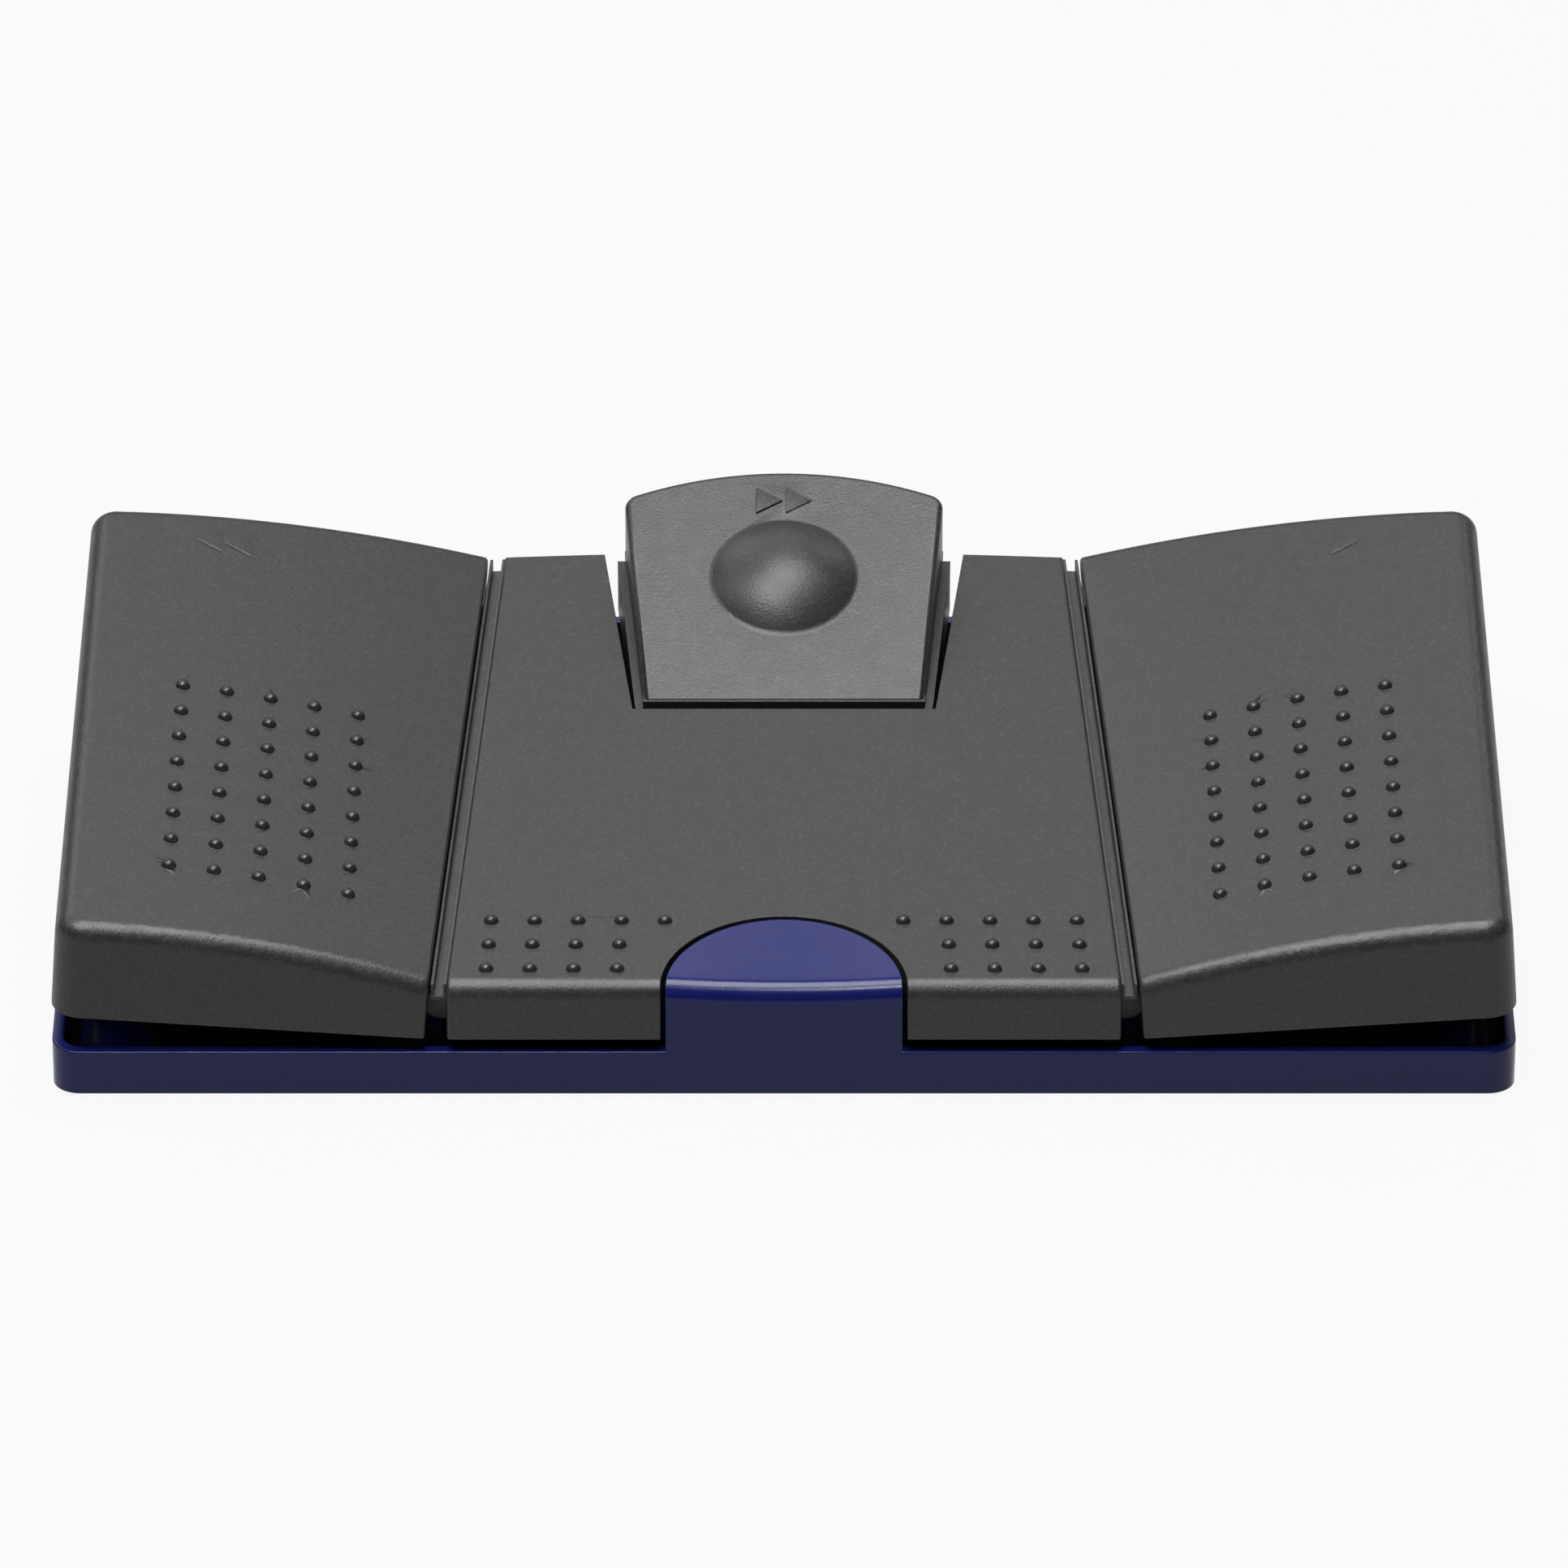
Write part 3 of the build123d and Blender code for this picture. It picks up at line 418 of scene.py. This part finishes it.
# A darker copy of the pedal plastic: painted shade that makes the domes near-black
SHADED_BUMP_GREY = MouldedPlastic("bump_grey", (0.015, 0.016, 0.015), Polish.SMOOTH, roughness=0.3, speck=0.05)
WEB_GREY = MouldedPlastic("web_grey", (0.03, 0.032, 0.03), Polish.SATIN, roughness=0.45, grain_depth=0.000012)
SWITCH_BLACK = MouldedPlastic("switch_black", (0.012, 0.012, 0.013), Polish.SATIN, roughness=0.4)
PLUNGER_RED = MouldedPlastic("plunger_red", (0.38, 0.02, 0.015), Polish.SMOOTH, roughness=0.35)
HEADER_WHITE = MouldedPlastic("header_white", (0.72, 0.7, 0.64), Polish.SMOOTH, roughness=0.4)
BOARD_GREEN = MouldedPlastic("board_green", (0.01, 0.11, 0.035), Polish.SMOOTH, roughness=0.3, edge_highlight=0.1)
BLACK_PLATE = MouldedPlastic("black_plate", (0.012, 0.012, 0.013), Polish.SATIN, roughness=0.55)
STEEL = WorkedMetal("steel", (0.56, 0.56, 0.57))
BRASS = WorkedMetal("terminal_brass", (0.72, 0.56, 0.28))
BLACK_RUBBER = Rubber("black_rubber", (0.018, 0.018, 0.019))

FINISHES = {finish.name: finish for finish in (
    TRAY_BLUE, COVER_GREY, PEDAL_GREY, WEB_GREY, SWITCH_BLACK, PLUNGER_RED, HEADER_WHITE, BOARD_GREEN,
    BLACK_PLATE, STEEL, BRASS, BLACK_RUBBER)}


# Pieces


# Welding of a node's loose triangles, in mm, and the bend in degrees that still counts as flat
WELD = 0.002
SLIVER = 0.001
FLAT_ANGLE = 0.05
# The tray's faces under the tongue's cap: least upward part of a normal, and margin at the rim in mm
LEAST_UPWARD = 0.05
RIM_MARGIN = 0.05


def show(mesh: bmesh.types.BMesh, name: str, finish: MouldedPlastic | WorkedMetal | Rubber, body: str,
         slot: str, crease: float = 30.0) -> bpy.types.Object:
    """Turn a bmesh into a smooth-shaded piece that rides on a body.

    Args:
        mesh: The finished bmesh, which is freed.
        name: The piece's name.
        finish: Its finish.
        body: The body it moves with.
        slot: The record's material slot; not used.
        crease: Angle in degrees over which an edge stays sharp.

    Returns:
        The new object.
    """
    data = bpy.data.meshes.new(name)
    mesh.to_mesh(data)
    mesh.free()
    data.shade_smooth()
    data.set_sharp_from_angle(angle=math.radians(crease))
    piece = bpy.data.objects.new(name, data)
    bpy.context.scene.collection.objects.link(piece)
    data.materials.append(finish.material())
    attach(piece, body)
    return piece


def smooth_copy(frame: dict[str, Any], node: str, body: str, finish: MouldedPlastic | WorkedMetal | Rubber,
                slot: str, crease: float = 28.0, flatten: bool = False,
                trim: Callable[[bmesh.types.BMFace], bool] | None = None) -> bpy.types.Object:
    """Show a node through a merged copy of its mesh, so that its curved faces shade smoothly.

    Args:
        frame: The loaded frame.
        node: The node's name.
        body: The body it moves with.
        finish: Its finish.
        slot: The record's material slot; not used.
        crease: Angle in degrees over which an edge stays sharp.
        flatten: Whether the triangles of each flat face become one polygon.
        trim: Test for the faces that a finer piece takes over.

    Returns:
        The copy, which stands for the node.
    """
    mesh = bmesh.new()
    mesh.from_mesh(frame["nodes"][node].data)
    bmesh.ops.remove_doubles(mesh, verts=mesh.verts, dist=WELD * MM)
    bmesh.ops.dissolve_degenerate(mesh, dist=SLIVER * MM, edges=mesh.edges)
    if flatten:
        bmesh.ops.dissolve_limit(mesh, angle_limit=math.radians(FLAT_ANGLE), use_dissolve_boundaries=False,
                                 verts=mesh.verts, edges=mesh.edges)
    if trim is not None:
        bmesh.ops.delete(mesh, geom=[face for face in mesh.faces if trim(face)], context="FACES")
    piece = show(mesh, node + "_shell", finish, body, slot, crease)
    weighted = piece.modifiers.new("even shading", "WEIGHTED_NORMAL")
    weighted.keep_sharp = True
    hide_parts(node)
    return piece


@dataclass
class Drawing:
    """The drawing's axes: X to the right, Y back from the tray's front, Z up from its underside, in mm."""

    front: float
    underside: float

    def place(self, x: float, y: float, z: float) -> Vector:
        """Return a point of the drawing in the scene's metres."""
        return Vector((x * MM, y * MM + self.front, z * MM + self.underside))


@dataclass
class Deck:
    """The tilted plane that the covers' tops follow, and the grooves in it."""

    height: float = 25.3
    tilt: float = 4.6
    depth: float = 164.3
    groove_front: float = 70.65
    groove_splay: float = 3.14
    strip_half: float = 1.6
    strip_clearance: float = 0.3

    def z(self, y: float) -> float:
        """Return the deck's height at a depth."""
        return self.height + y * math.tan(math.radians(self.tilt))

    def groove_x(self, y: float) -> float:
        """Return the middle of the groove at a depth."""
        return self.groove_front - y * math.tan(math.radians(self.groove_splay))


@dataclass
class GripBumps:
    """Polished domes that stand on the moulded bumps, in a darker copy of the plastic that paints shade on
    them.
    """

    radius: float = 1.57
    sink: float = 0.25
    rings: int = 12
    segments: int = 20

    def add(self, mesh: bmesh.types.BMesh, centre: Vector) -> None:
        """Add one dome to a mesh.

        Args:
            mesh: The mesh that gets it.
            centre: The ball's centre, in metres.
        """
        made = bmesh.ops.create_uvsphere(mesh, u_segments=self.segments, v_segments=self.rings,
                                         radius=self.radius * MM)
        verts = made["verts"]
        lower = [v for v in verts if v.co.z < -0.35 * self.radius * MM]
        bmesh.ops.delete(mesh, geom=lower, context="VERTS")
        bmesh.ops.translate(mesh, verts=[v for v in verts if v.is_valid], vec=centre)

    def show(self, name: str, centres: list[Vector], body: str, slot: str) -> bpy.types.Object:
        """Make one piece of all the domes on a surface.

        Args:
            name: The piece's name.
            centres: The balls' centres, in metres.
            body: The body they move with.
            slot: The record's material slot; not used.

        Returns:
            The piece.
        """
        mesh = bmesh.new()
        for centre in centres:
            self.add(mesh, centre)
        return show(mesh, name, SHADED_BUMP_GREY, body, slot, 60.0)


@dataclass
class Tongue:
    """The polished cap of the tray's half-round tongue: a hollow top that rolls over into the front."""

    drawing: Drawing
    deck: Deck
    radius: float = 24.2
    front_dip: float = 1.0
    rear_dip: float = 0.05
    front_round: float = 4.2
    round_turn: float = 85.0
    lip: float = 0.4
    lift: float = 0.02
    skirt: float = 6.0
    across: int = 48
    round_steps: int = 14
    top_steps: int = 24

    @property
    def top_start(self) -> float:
        """Return the depth at which the front round runs into the top."""
        return self.front_round * (1 - math.cos(math.radians(self.round_turn)))

    def top_z(self, x: float, y: float) -> float:
        """Return the hollow top's height at a point, straight between the front and the rear section."""
        share = min(max(y / self.radius, 0.0), 1.0)
        heights = []
        for depth, dip in ((0.0, self.front_dip), (self.radius, self.rear_dip)):
            bow = (self.radius ** 2 + dip ** 2) / (2 * dip)
            heights.append(self.deck.z(depth) - dip + bow - math.sqrt(bow ** 2 - x ** 2))
        return heights[0] + share * (heights[1] - heights[0])

    def point(self, across: float, along: float) -> Vector:
        """Return a point of the cap.

        Args:
            across: From -1 at the left edge to 1 at the right edge.
            along: Row, counted from the lip under the front round to the rear of the top.

        Returns:
            The point in the scene's metres.
        """
        if along < 1:
            y, drop = -self.lift, self.front_round + self.lip
        elif along <= self.round_steps:
            turn = math.radians(self.round_turn) * (along - 1) / (self.round_steps - 1)
            y, drop = self.front_round * (1 - math.cos(turn)), self.front_round * (1 - math.sin(turn))
            y, drop = y - self.lift * math.cos(turn), drop - self.lift
        else:
            share = (along - self.round_steps) / self.top_steps
            y = self.top_start + (self.radius - self.top_start) * math.sin(share * math.pi / 2)
            drop = -self.lift
        x = across * math.sqrt(max(self.radius ** 2 - max(y, 0.0) ** 2, 0.0))
        return self.drawing.place(x, y, self.top_z(x, max(y, self.top_start)) - drop)

    def covers(self, face: bmesh.types.BMFace) -> bool:
        """Tell whether a face of the tray lies under the cap."""
        if face.normal.z < LEAST_UPWARD:
            return False
        lowest = self.deck.height - self.front_dip - self.front_round - self.lip
        floor = self.drawing.place(0.0, 0.0, lowest).z
        reach = (self.radius + RIM_MARGIN) * MM
        return all(v.co.z > floor and math.hypot(v.co.x, v.co.y - self.drawing.front) < reach
                   for v in face.verts)

    def build(self) -> bpy.types.Object:
        """Make the cap.

        Returns:
            The piece.
        """
        mesh = bmesh.new()
        rows = self.round_steps + self.top_steps
        bmesh.ops.create_grid(mesh, x_segments=self.across, y_segments=rows, size=0.5)
        edge = []
        for vert in mesh.verts:
            across, along = 2 * vert.co.x, (vert.co.y + 0.5) * rows
            vert.co = self.point(across, along)
            if abs(across) > 0.999 or along > rows - 0.5:
                edge.append(vert)
        rim = [e for e in mesh.edges if e.is_boundary and all(v in edge for v in e.verts)]
        walls = bmesh.ops.extrude_edge_only(mesh, edges=rim)["geom"]
        lower = [g for g in walls if isinstance(g, bmesh.types.BMVert)]
        bmesh.ops.translate(mesh, verts=lower, vec=(0.0, 0.0, -self.skirt * MM))
        bmesh.ops.remove_doubles(mesh, verts=mesh.verts, dist=WELD * MM)
        bmesh.ops.recalc_face_normals(mesh, faces=mesh.faces)
        return show(mesh, "tongue_cap", TRAY_BLUE, "root", "tray_blue", 50.0)


@dataclass
class Housing:
    """The blue tray with its tongue, and the fixed cover between the pedals."""

    frame: dict[str, Any]
    drawing: Drawing
    deck: Deck
    bumps: GripBumps
    bump_counts: tuple[int, int, int] = (5, 4, 4)
    bump_outer: float = 60.2
    bump_rear: float = 23.6
    bump_pitch: float = 8.93
    bump_step: float = 8.62
    bump_splay: float = 0.35

    def bump_centres(self) -> list[Vector]:
        """Return the centres of the cover's bumps, on both sides of the tongue."""
        centres = []
        for row, count in enumerate(self.bump_counts):
            y = self.bump_rear - row * self.bump_step
            for column in range(count):
                x = self.bump_outer + row * self.bump_splay - column * self.bump_pitch
                for side in Side:
                    centres.append(self.drawing.place(side.value * x, y, self.deck.z(y) - self.bumps.sink))
        return centres

    def build(self) -> list[bpy.types.Object]:
        """Dress the tray and the cover.

        Returns:
            The pieces made.
        """
        tongue = Tongue(self.drawing, self.deck)
        tray = smooth_copy(self.frame, "base_tray", "root", TRAY_BLUE, "tray_blue", flatten=True,
                            trim=tongue.covers)
        cover = smooth_copy(self.frame, "centre_cover", "root", COVER_GREY, "cover_grey", flatten=True)
        bumps = self.bumps.show("cover_bumps", self.bump_centres(), "root", "cover_grey")
        return [tray, tongue.build(), cover, bumps]


@dataclass
class SidePedal:
    """A side pedal with its bowed top and its field of bumps."""

    frame: dict[str, Any]
    side: Side
    drawing: Drawing
    deck: Deck
    bumps: GripBumps
    outer_x: float = 149.75
    hinge_drop: float = 8.5
    front_crown: tuple[float, float, float] = (0.2, 8.4, 2.65)
    rear_crown: tuple[float, float, float] = (1.65, 13.9, 1.8)
    bump_first: tuple[float, float] = (90.6, 24.4)
    bump_pitch: tuple[float, float] = (9.25, 9.14)
    bump_columns: int = 5
    bump_rows: int = 8

    def hinge(self) -> dict[str, Any]:
        """Return the record's joint of this pedal."""
        name = self.side.word + "_pedal_hinge"
        return next(j for j in self.frame["record"]["behaviour"]["joints"] if j["name"] == name)

    def inner_x(self, y: float) -> float:
        """Return the inner wall's X at a depth, on the right-hand pedal pressed down."""
        lean = self.hinge_drop * math.sin(math.radians(self.hinge()["range_deg"][1]))
        width = self.deck.strip_half + self.deck.strip_clearance + lean
        return self.deck.groove_x(y) + width / math.cos(math.radians(self.deck.groove_splay))

    def crown_z(self, x: float, y: float) -> float:
        """Return the bowed top's height at a point, with the pedal pressed down.

        Args:
            x: Distance from the middle of the switch.
            y: Depth.

        Returns:
            The height in the drawing.
        """
        across = (x - self.inner_x(y)) / (self.outer_x - self.inner_x(y))
        share = y / self.deck.depth
        inner, outer, bow = (f + share * (r - f) for f, r in zip(self.front_crown, self.rear_crown))
        return self.deck.z(y) + inner + (outer - inner) * across + 4 * bow * across * (1 - across)

    def lifted(self, point: Vector) -> Vector:
        """Return where a point of the pressed pedal lies when the pedal is up."""
        hinge = self.hinge()
        turn = Matrix.Rotation(-math.radians(hinge["range_deg"][1]), 4, Vector(hinge["axis"]))
        pivot = Vector(hinge["pos_m"])
        return turn @ (point - pivot) + pivot

    def bump_centres(self) -> list[Vector]:
        """Return the centres of the pedal's bumps, with the pedal up."""
        centres = []
        for column in range(self.bump_columns):
            for row in range(self.bump_rows):
                x = self.bump_first[0] + column * self.bump_pitch[0]
                y = self.bump_first[1] + row * self.bump_pitch[1]
                point = self.drawing.place(self.side.value * x, y, self.crown_z(x, y) - self.bumps.sink)
                centres.append(self.lifted(point))
        return centres

    def build(self) -> list[bpy.types.Object]:
        """Dress the pedal and put its domes on.

        Returns:
            The pieces made.
        """
        body = self.side.word + "_pedal"
        shell = smooth_copy(self.frame, body, body, PEDAL_GREY, "pedal_grey")
        bumps = self.bumps.show(body + "_bumps", self.bump_centres(), body, "pedal_grey")
        strip = smooth_copy(self.frame, self.side.word + "_hinge_strip", "root", WEB_GREY, "web_grey")
        return [shell, bumps, strip]


@dataclass
class TopPedal:
    """The small pedal at the back, with its raised round dome."""

    frame: dict[str, Any]

    def build(self) -> list[bpy.types.Object]:
        """Dress the pedal.

        Returns:
            The pieces made.
        """
        return [smooth_copy(self.frame, "top_pedal", "top_pedal", PEDAL_GREY, "pedal_grey", flatten=True)]


@dataclass
class ReturnSprings:
    """The coil springs under the pedals, which shorten as their pedals go down."""

    frame: dict[str, Any]

    def travel(self, joint: dict[str, Any], low: Vector, high: Vector) -> float:
        """Return how far the pedal comes down on the top of a spring.

        Args:
            joint: The record's joint of the pedal.
            low: Lowest corner of the spring's box.
            high: Highest corner of the spring's box.

        Returns:
            The greatest drop over the box's top, in metres.
        """
        corners = [Vector((x, y, high.z)) for x in (low.x, high.x) for y in (low.y, high.y)]
        arms = [Vector(joint["axis"]).cross(corner - Vector(joint["pos_m"])).z for corner in corners]
        return max(abs(arm) for arm in arms) * math.sin(math.radians(joint["range_deg"][1]))

    def build(self) -> list[bpy.types.Object]:
        """Dress each spring with a smooth copy of its node, on a mesh of its own.

        Returns:
            The pieces made.
        """
        pieces = []
        for joint in self.frame["record"]["behaviour"]["joints"]:
            for spring in joint.get("deforming_nodes", []):
                low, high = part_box(spring["node"])
                foot = spring["fixed_end_z_m"]
                piece = smooth_copy(self.frame, spring["node"], "root", STEEL, "steel")
                keep = 1 - self.travel(joint, low, high) / (high.z - foot)
                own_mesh(piece)
                pieces.append(piece)
        return pieces


# Nodes that the classes above dress, so that the mechanism leaves them out
DRESSED = {"base_tray", "centre_cover", "left_pedal", "right_pedal", "top_pedal", "left_hinge_strip",
           "right_hinge_strip", "left_return_spring", "right_return_spring", "top_return_spring"}


@dataclass
class Mechanism:
    """What else is inside and underneath: pins, switches, board, ballast, feet and grommet."""

    frame: dict[str, Any]
    smoothed: tuple[str, ...] = (
        "cable_grommet", "front_left_foot", "front_right_foot", "rear_left_foot", "rear_right_foot",
        "left_hinge_pin", "right_hinge_pin", "top_hinge_pin", "left_stop_pads", "right_stop_pads",
        "top_stop_pads", "cover_screws", "board_screws", "ballast_screws")

    def build(self) -> list[bpy.types.Object]:
        """Dress the remaining nodes.

        Returns:
            The pieces made.
        """
        slots = {part["node"]: part["material_slot"] for part in self.frame["record"]["subparts"]}
        pieces = []
        for node, slot in sorted(slots.items()):
            if node in DRESSED:
                continue
            finish = FINISHES[slot]
            if node in self.smoothed:
                pieces.append(smooth_copy(self.frame, node, "root", finish, slot))
                continue
            data = self.frame["nodes"][node].data
            data.materials.clear()
            data.materials.append(finish.material())
        return pieces


# Studio


@dataclass(frozen=True)
class SoftLight:
    """A rectangular soft light that points at the object."""

    name: str
    place: tuple[float, float, float]
    size: tuple[float, float]
    brightness: float

    def hang(self) -> bpy.types.Object:
        """Hang the light.

        Returns:
            The light's object.
        """
        lamp = bpy.data.lights.new(self.name, "AREA")
        lamp.shape = "RECTANGLE"
        lamp.size, lamp.size_y = self.size
        lamp.energy = 4.0 * self.brightness * self.size[0] * self.size[1]
        light = bpy.data.objects.new(self.name, lamp)
        light.location = self.place
        aim = Vector((0.0, 0.0, 0.02)) - light.location
        light.rotation_euler = aim.to_track_quat("-Z", "Y").to_euler()
        bpy.context.scene.collection.objects.link(light)
        return light


LIGHTS = (
    SoftLight("overhead", (0.08, 0.14, 1.9), (0.9, 0.97), 10.5),
    SoftLight("front_strip", (-0.45, -0.5, 1.8), (1.1, 0.15), 42.0),
    SoftLight("behind_left", (-0.95, 1.6, 1.45), (0.9, 0.9), 2.4),
    SoftLight("behind_centre", (0.05, 1.75, 1.45), (0.9, 0.9), 1.3),
    SoftLight("behind_right", (1.1, 1.6, 1.45), (0.7, 0.7), 2.4),
    SoftLight("left_fill", (-1.45, 0.35, 1.6), (0.9, 0.9), 2.0),
)


@dataclass
class Studio:
    """The pale floor, the white surround, the soft lights and the camera."""

    drawing: Drawing
    floor_size: float = 9.0
    floor_colour: Colour = (0.26, 0.26, 0.26)
    whitening: float = 0.92
    surround: float = 0.06
    eye: tuple[float, float, float] = (0.0, -2001.8, 1191.5)
    target: tuple[float, float, float] = (0.0, 130.0, 0.0)
    lens: float = 260.87

    def visible_ray(self, tree: bpy.types.NodeTree) -> bpy.types.NodeSocket:
        """Return a socket that is 1 for what the camera, a gloss or a glass shows."""
        path = tree.nodes.new("ShaderNodeLightPath")
        glossy = math_node(tree, "ADD", path.outputs["Is Camera Ray"], path.outputs["Is Glossy Ray"])
        return math_node(tree, "ADD", glossy, path.outputs["Is Transmission Ray"], clamp=True)

    def make_floor(self) -> bpy.types.Object:
        """Lay the pale floor.

        Returns:
            The floor's object.
        """
        mesh = bmesh.new()
        bmesh.ops.create_grid(mesh, x_segments=1, y_segments=1, size=self.floor_size / 2)
        data = bpy.data.meshes.new("floor")
        mesh.to_mesh(data)
        mesh.free()
        floor = bpy.data.objects.new("floor", data)
        bpy.context.scene.collection.objects.link(floor)
        material = bpy.data.materials.new("floor_white")
        material.use_nodes = True
        tree = material.node_tree
        tree.nodes.clear()
        matt = add_node(tree, "ShaderNodeBsdfDiffuse", {"Color": rgba(self.floor_colour)})
        white = add_node(tree, "ShaderNodeEmission", {"Color": rgba((1.0, 1.0, 1.0)), "Strength": 1.0})
        share = math_node(tree, "MULTIPLY", self.visible_ray(tree), self.whitening)
        mixed = add_node(tree, "ShaderNodeMixShader", {0: share, 1: matt.outputs[0], 2: white.outputs[0]})
        output = tree.nodes.new("ShaderNodeOutputMaterial")
        tree.links.new(mixed.outputs[0], output.inputs[0])
        data.materials.append(material)
        return floor

    def make_surround(self) -> None:
        """Make the world: white to the camera, white only near the horizon in a gloss, dim as a light."""
        world = bpy.data.worlds.new("surround")
        bpy.context.scene.world = world
        world.use_nodes = True
        tree = world.node_tree
        tree.nodes.clear()
        path = tree.nodes.new("ShaderNodeLightPath")
        where = tree.nodes.new("ShaderNodeTexCoord").outputs["Generated"]
        height = add_node(tree, "ShaderNodeSeparateXYZ", {0: where}).outputs["Z"]
        horizon = remap(tree, height, 0.0, 0.1, 1.0, 0.03)
        seen = math_node(tree, "ADD", path.outputs["Is Glossy Ray"], path.outputs["Is Transmission Ray"],
                         clamp=True)
        glossy = math_node(tree, "MULTIPLY", seen, horizon)
        rest = math_node(tree, "MULTIPLY", math_node(tree, "SUBTRACT", 1.0, seen), self.surround)
        strength = math_node(tree, "ADD", glossy, rest)
        camera = path.outputs["Is Camera Ray"]
        total = math_node(tree, "MAXIMUM", camera, strength)
        light = add_node(tree, "ShaderNodeBackground", {"Color": rgba((1.0, 1.0, 1.0)), "Strength": total})
        output = tree.nodes.new("ShaderNodeOutputWorld")
        tree.links.new(light.outputs[0], output.inputs[0])

    def make_camera(self) -> None:
        """Set the camera at the photograph's viewing angle."""
        data = bpy.data.cameras.new("camera")
        data.lens = self.lens
        data.sensor_width = 36.0
        data.clip_start = 0.1
        camera = bpy.data.objects.new("camera", data)
        camera.location = self.drawing.place(*self.eye)
        aim = self.drawing.place(*self.target) - camera.location
        camera.rotation_euler = aim.to_track_quat("-Z", "Y").to_euler()
        bpy.context.scene.collection.objects.link(camera)
        bpy.context.scene.camera = camera

    def build(self) -> None:
        """Set the whole studio up."""
        self.make_floor()
        self.make_surround()
        for light in LIGHTS:
            light.hang()
        self.make_camera()
        bpy.context.scene.view_settings.view_transform = "Standard"


def main() -> None:
    """Load the frame, dress every piece and set the studio up."""
    logging.basicConfig(level=logging.INFO, format="%(message)s")
    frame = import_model()
    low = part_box("base_tray")[0]
    drawing = Drawing(front=low.y, underside=low.z)
    deck = Deck()
    bumps = GripBumps()
    Studio(drawing).build()
    pieces = Housing(frame, drawing, deck, bumps).build()
    for side in Side:
        pieces += SidePedal(frame, side, drawing, deck, bumps).build()
    pieces += TopPedal(frame).build()
    pieces += ReturnSprings(frame).build()
    pieces += Mechanism(frame).build()
    for piece in pieces:
        LOG.info("%s: %d faces", piece.name, len(piece.data.polygons))


if __name__ == "__main__":
    main()
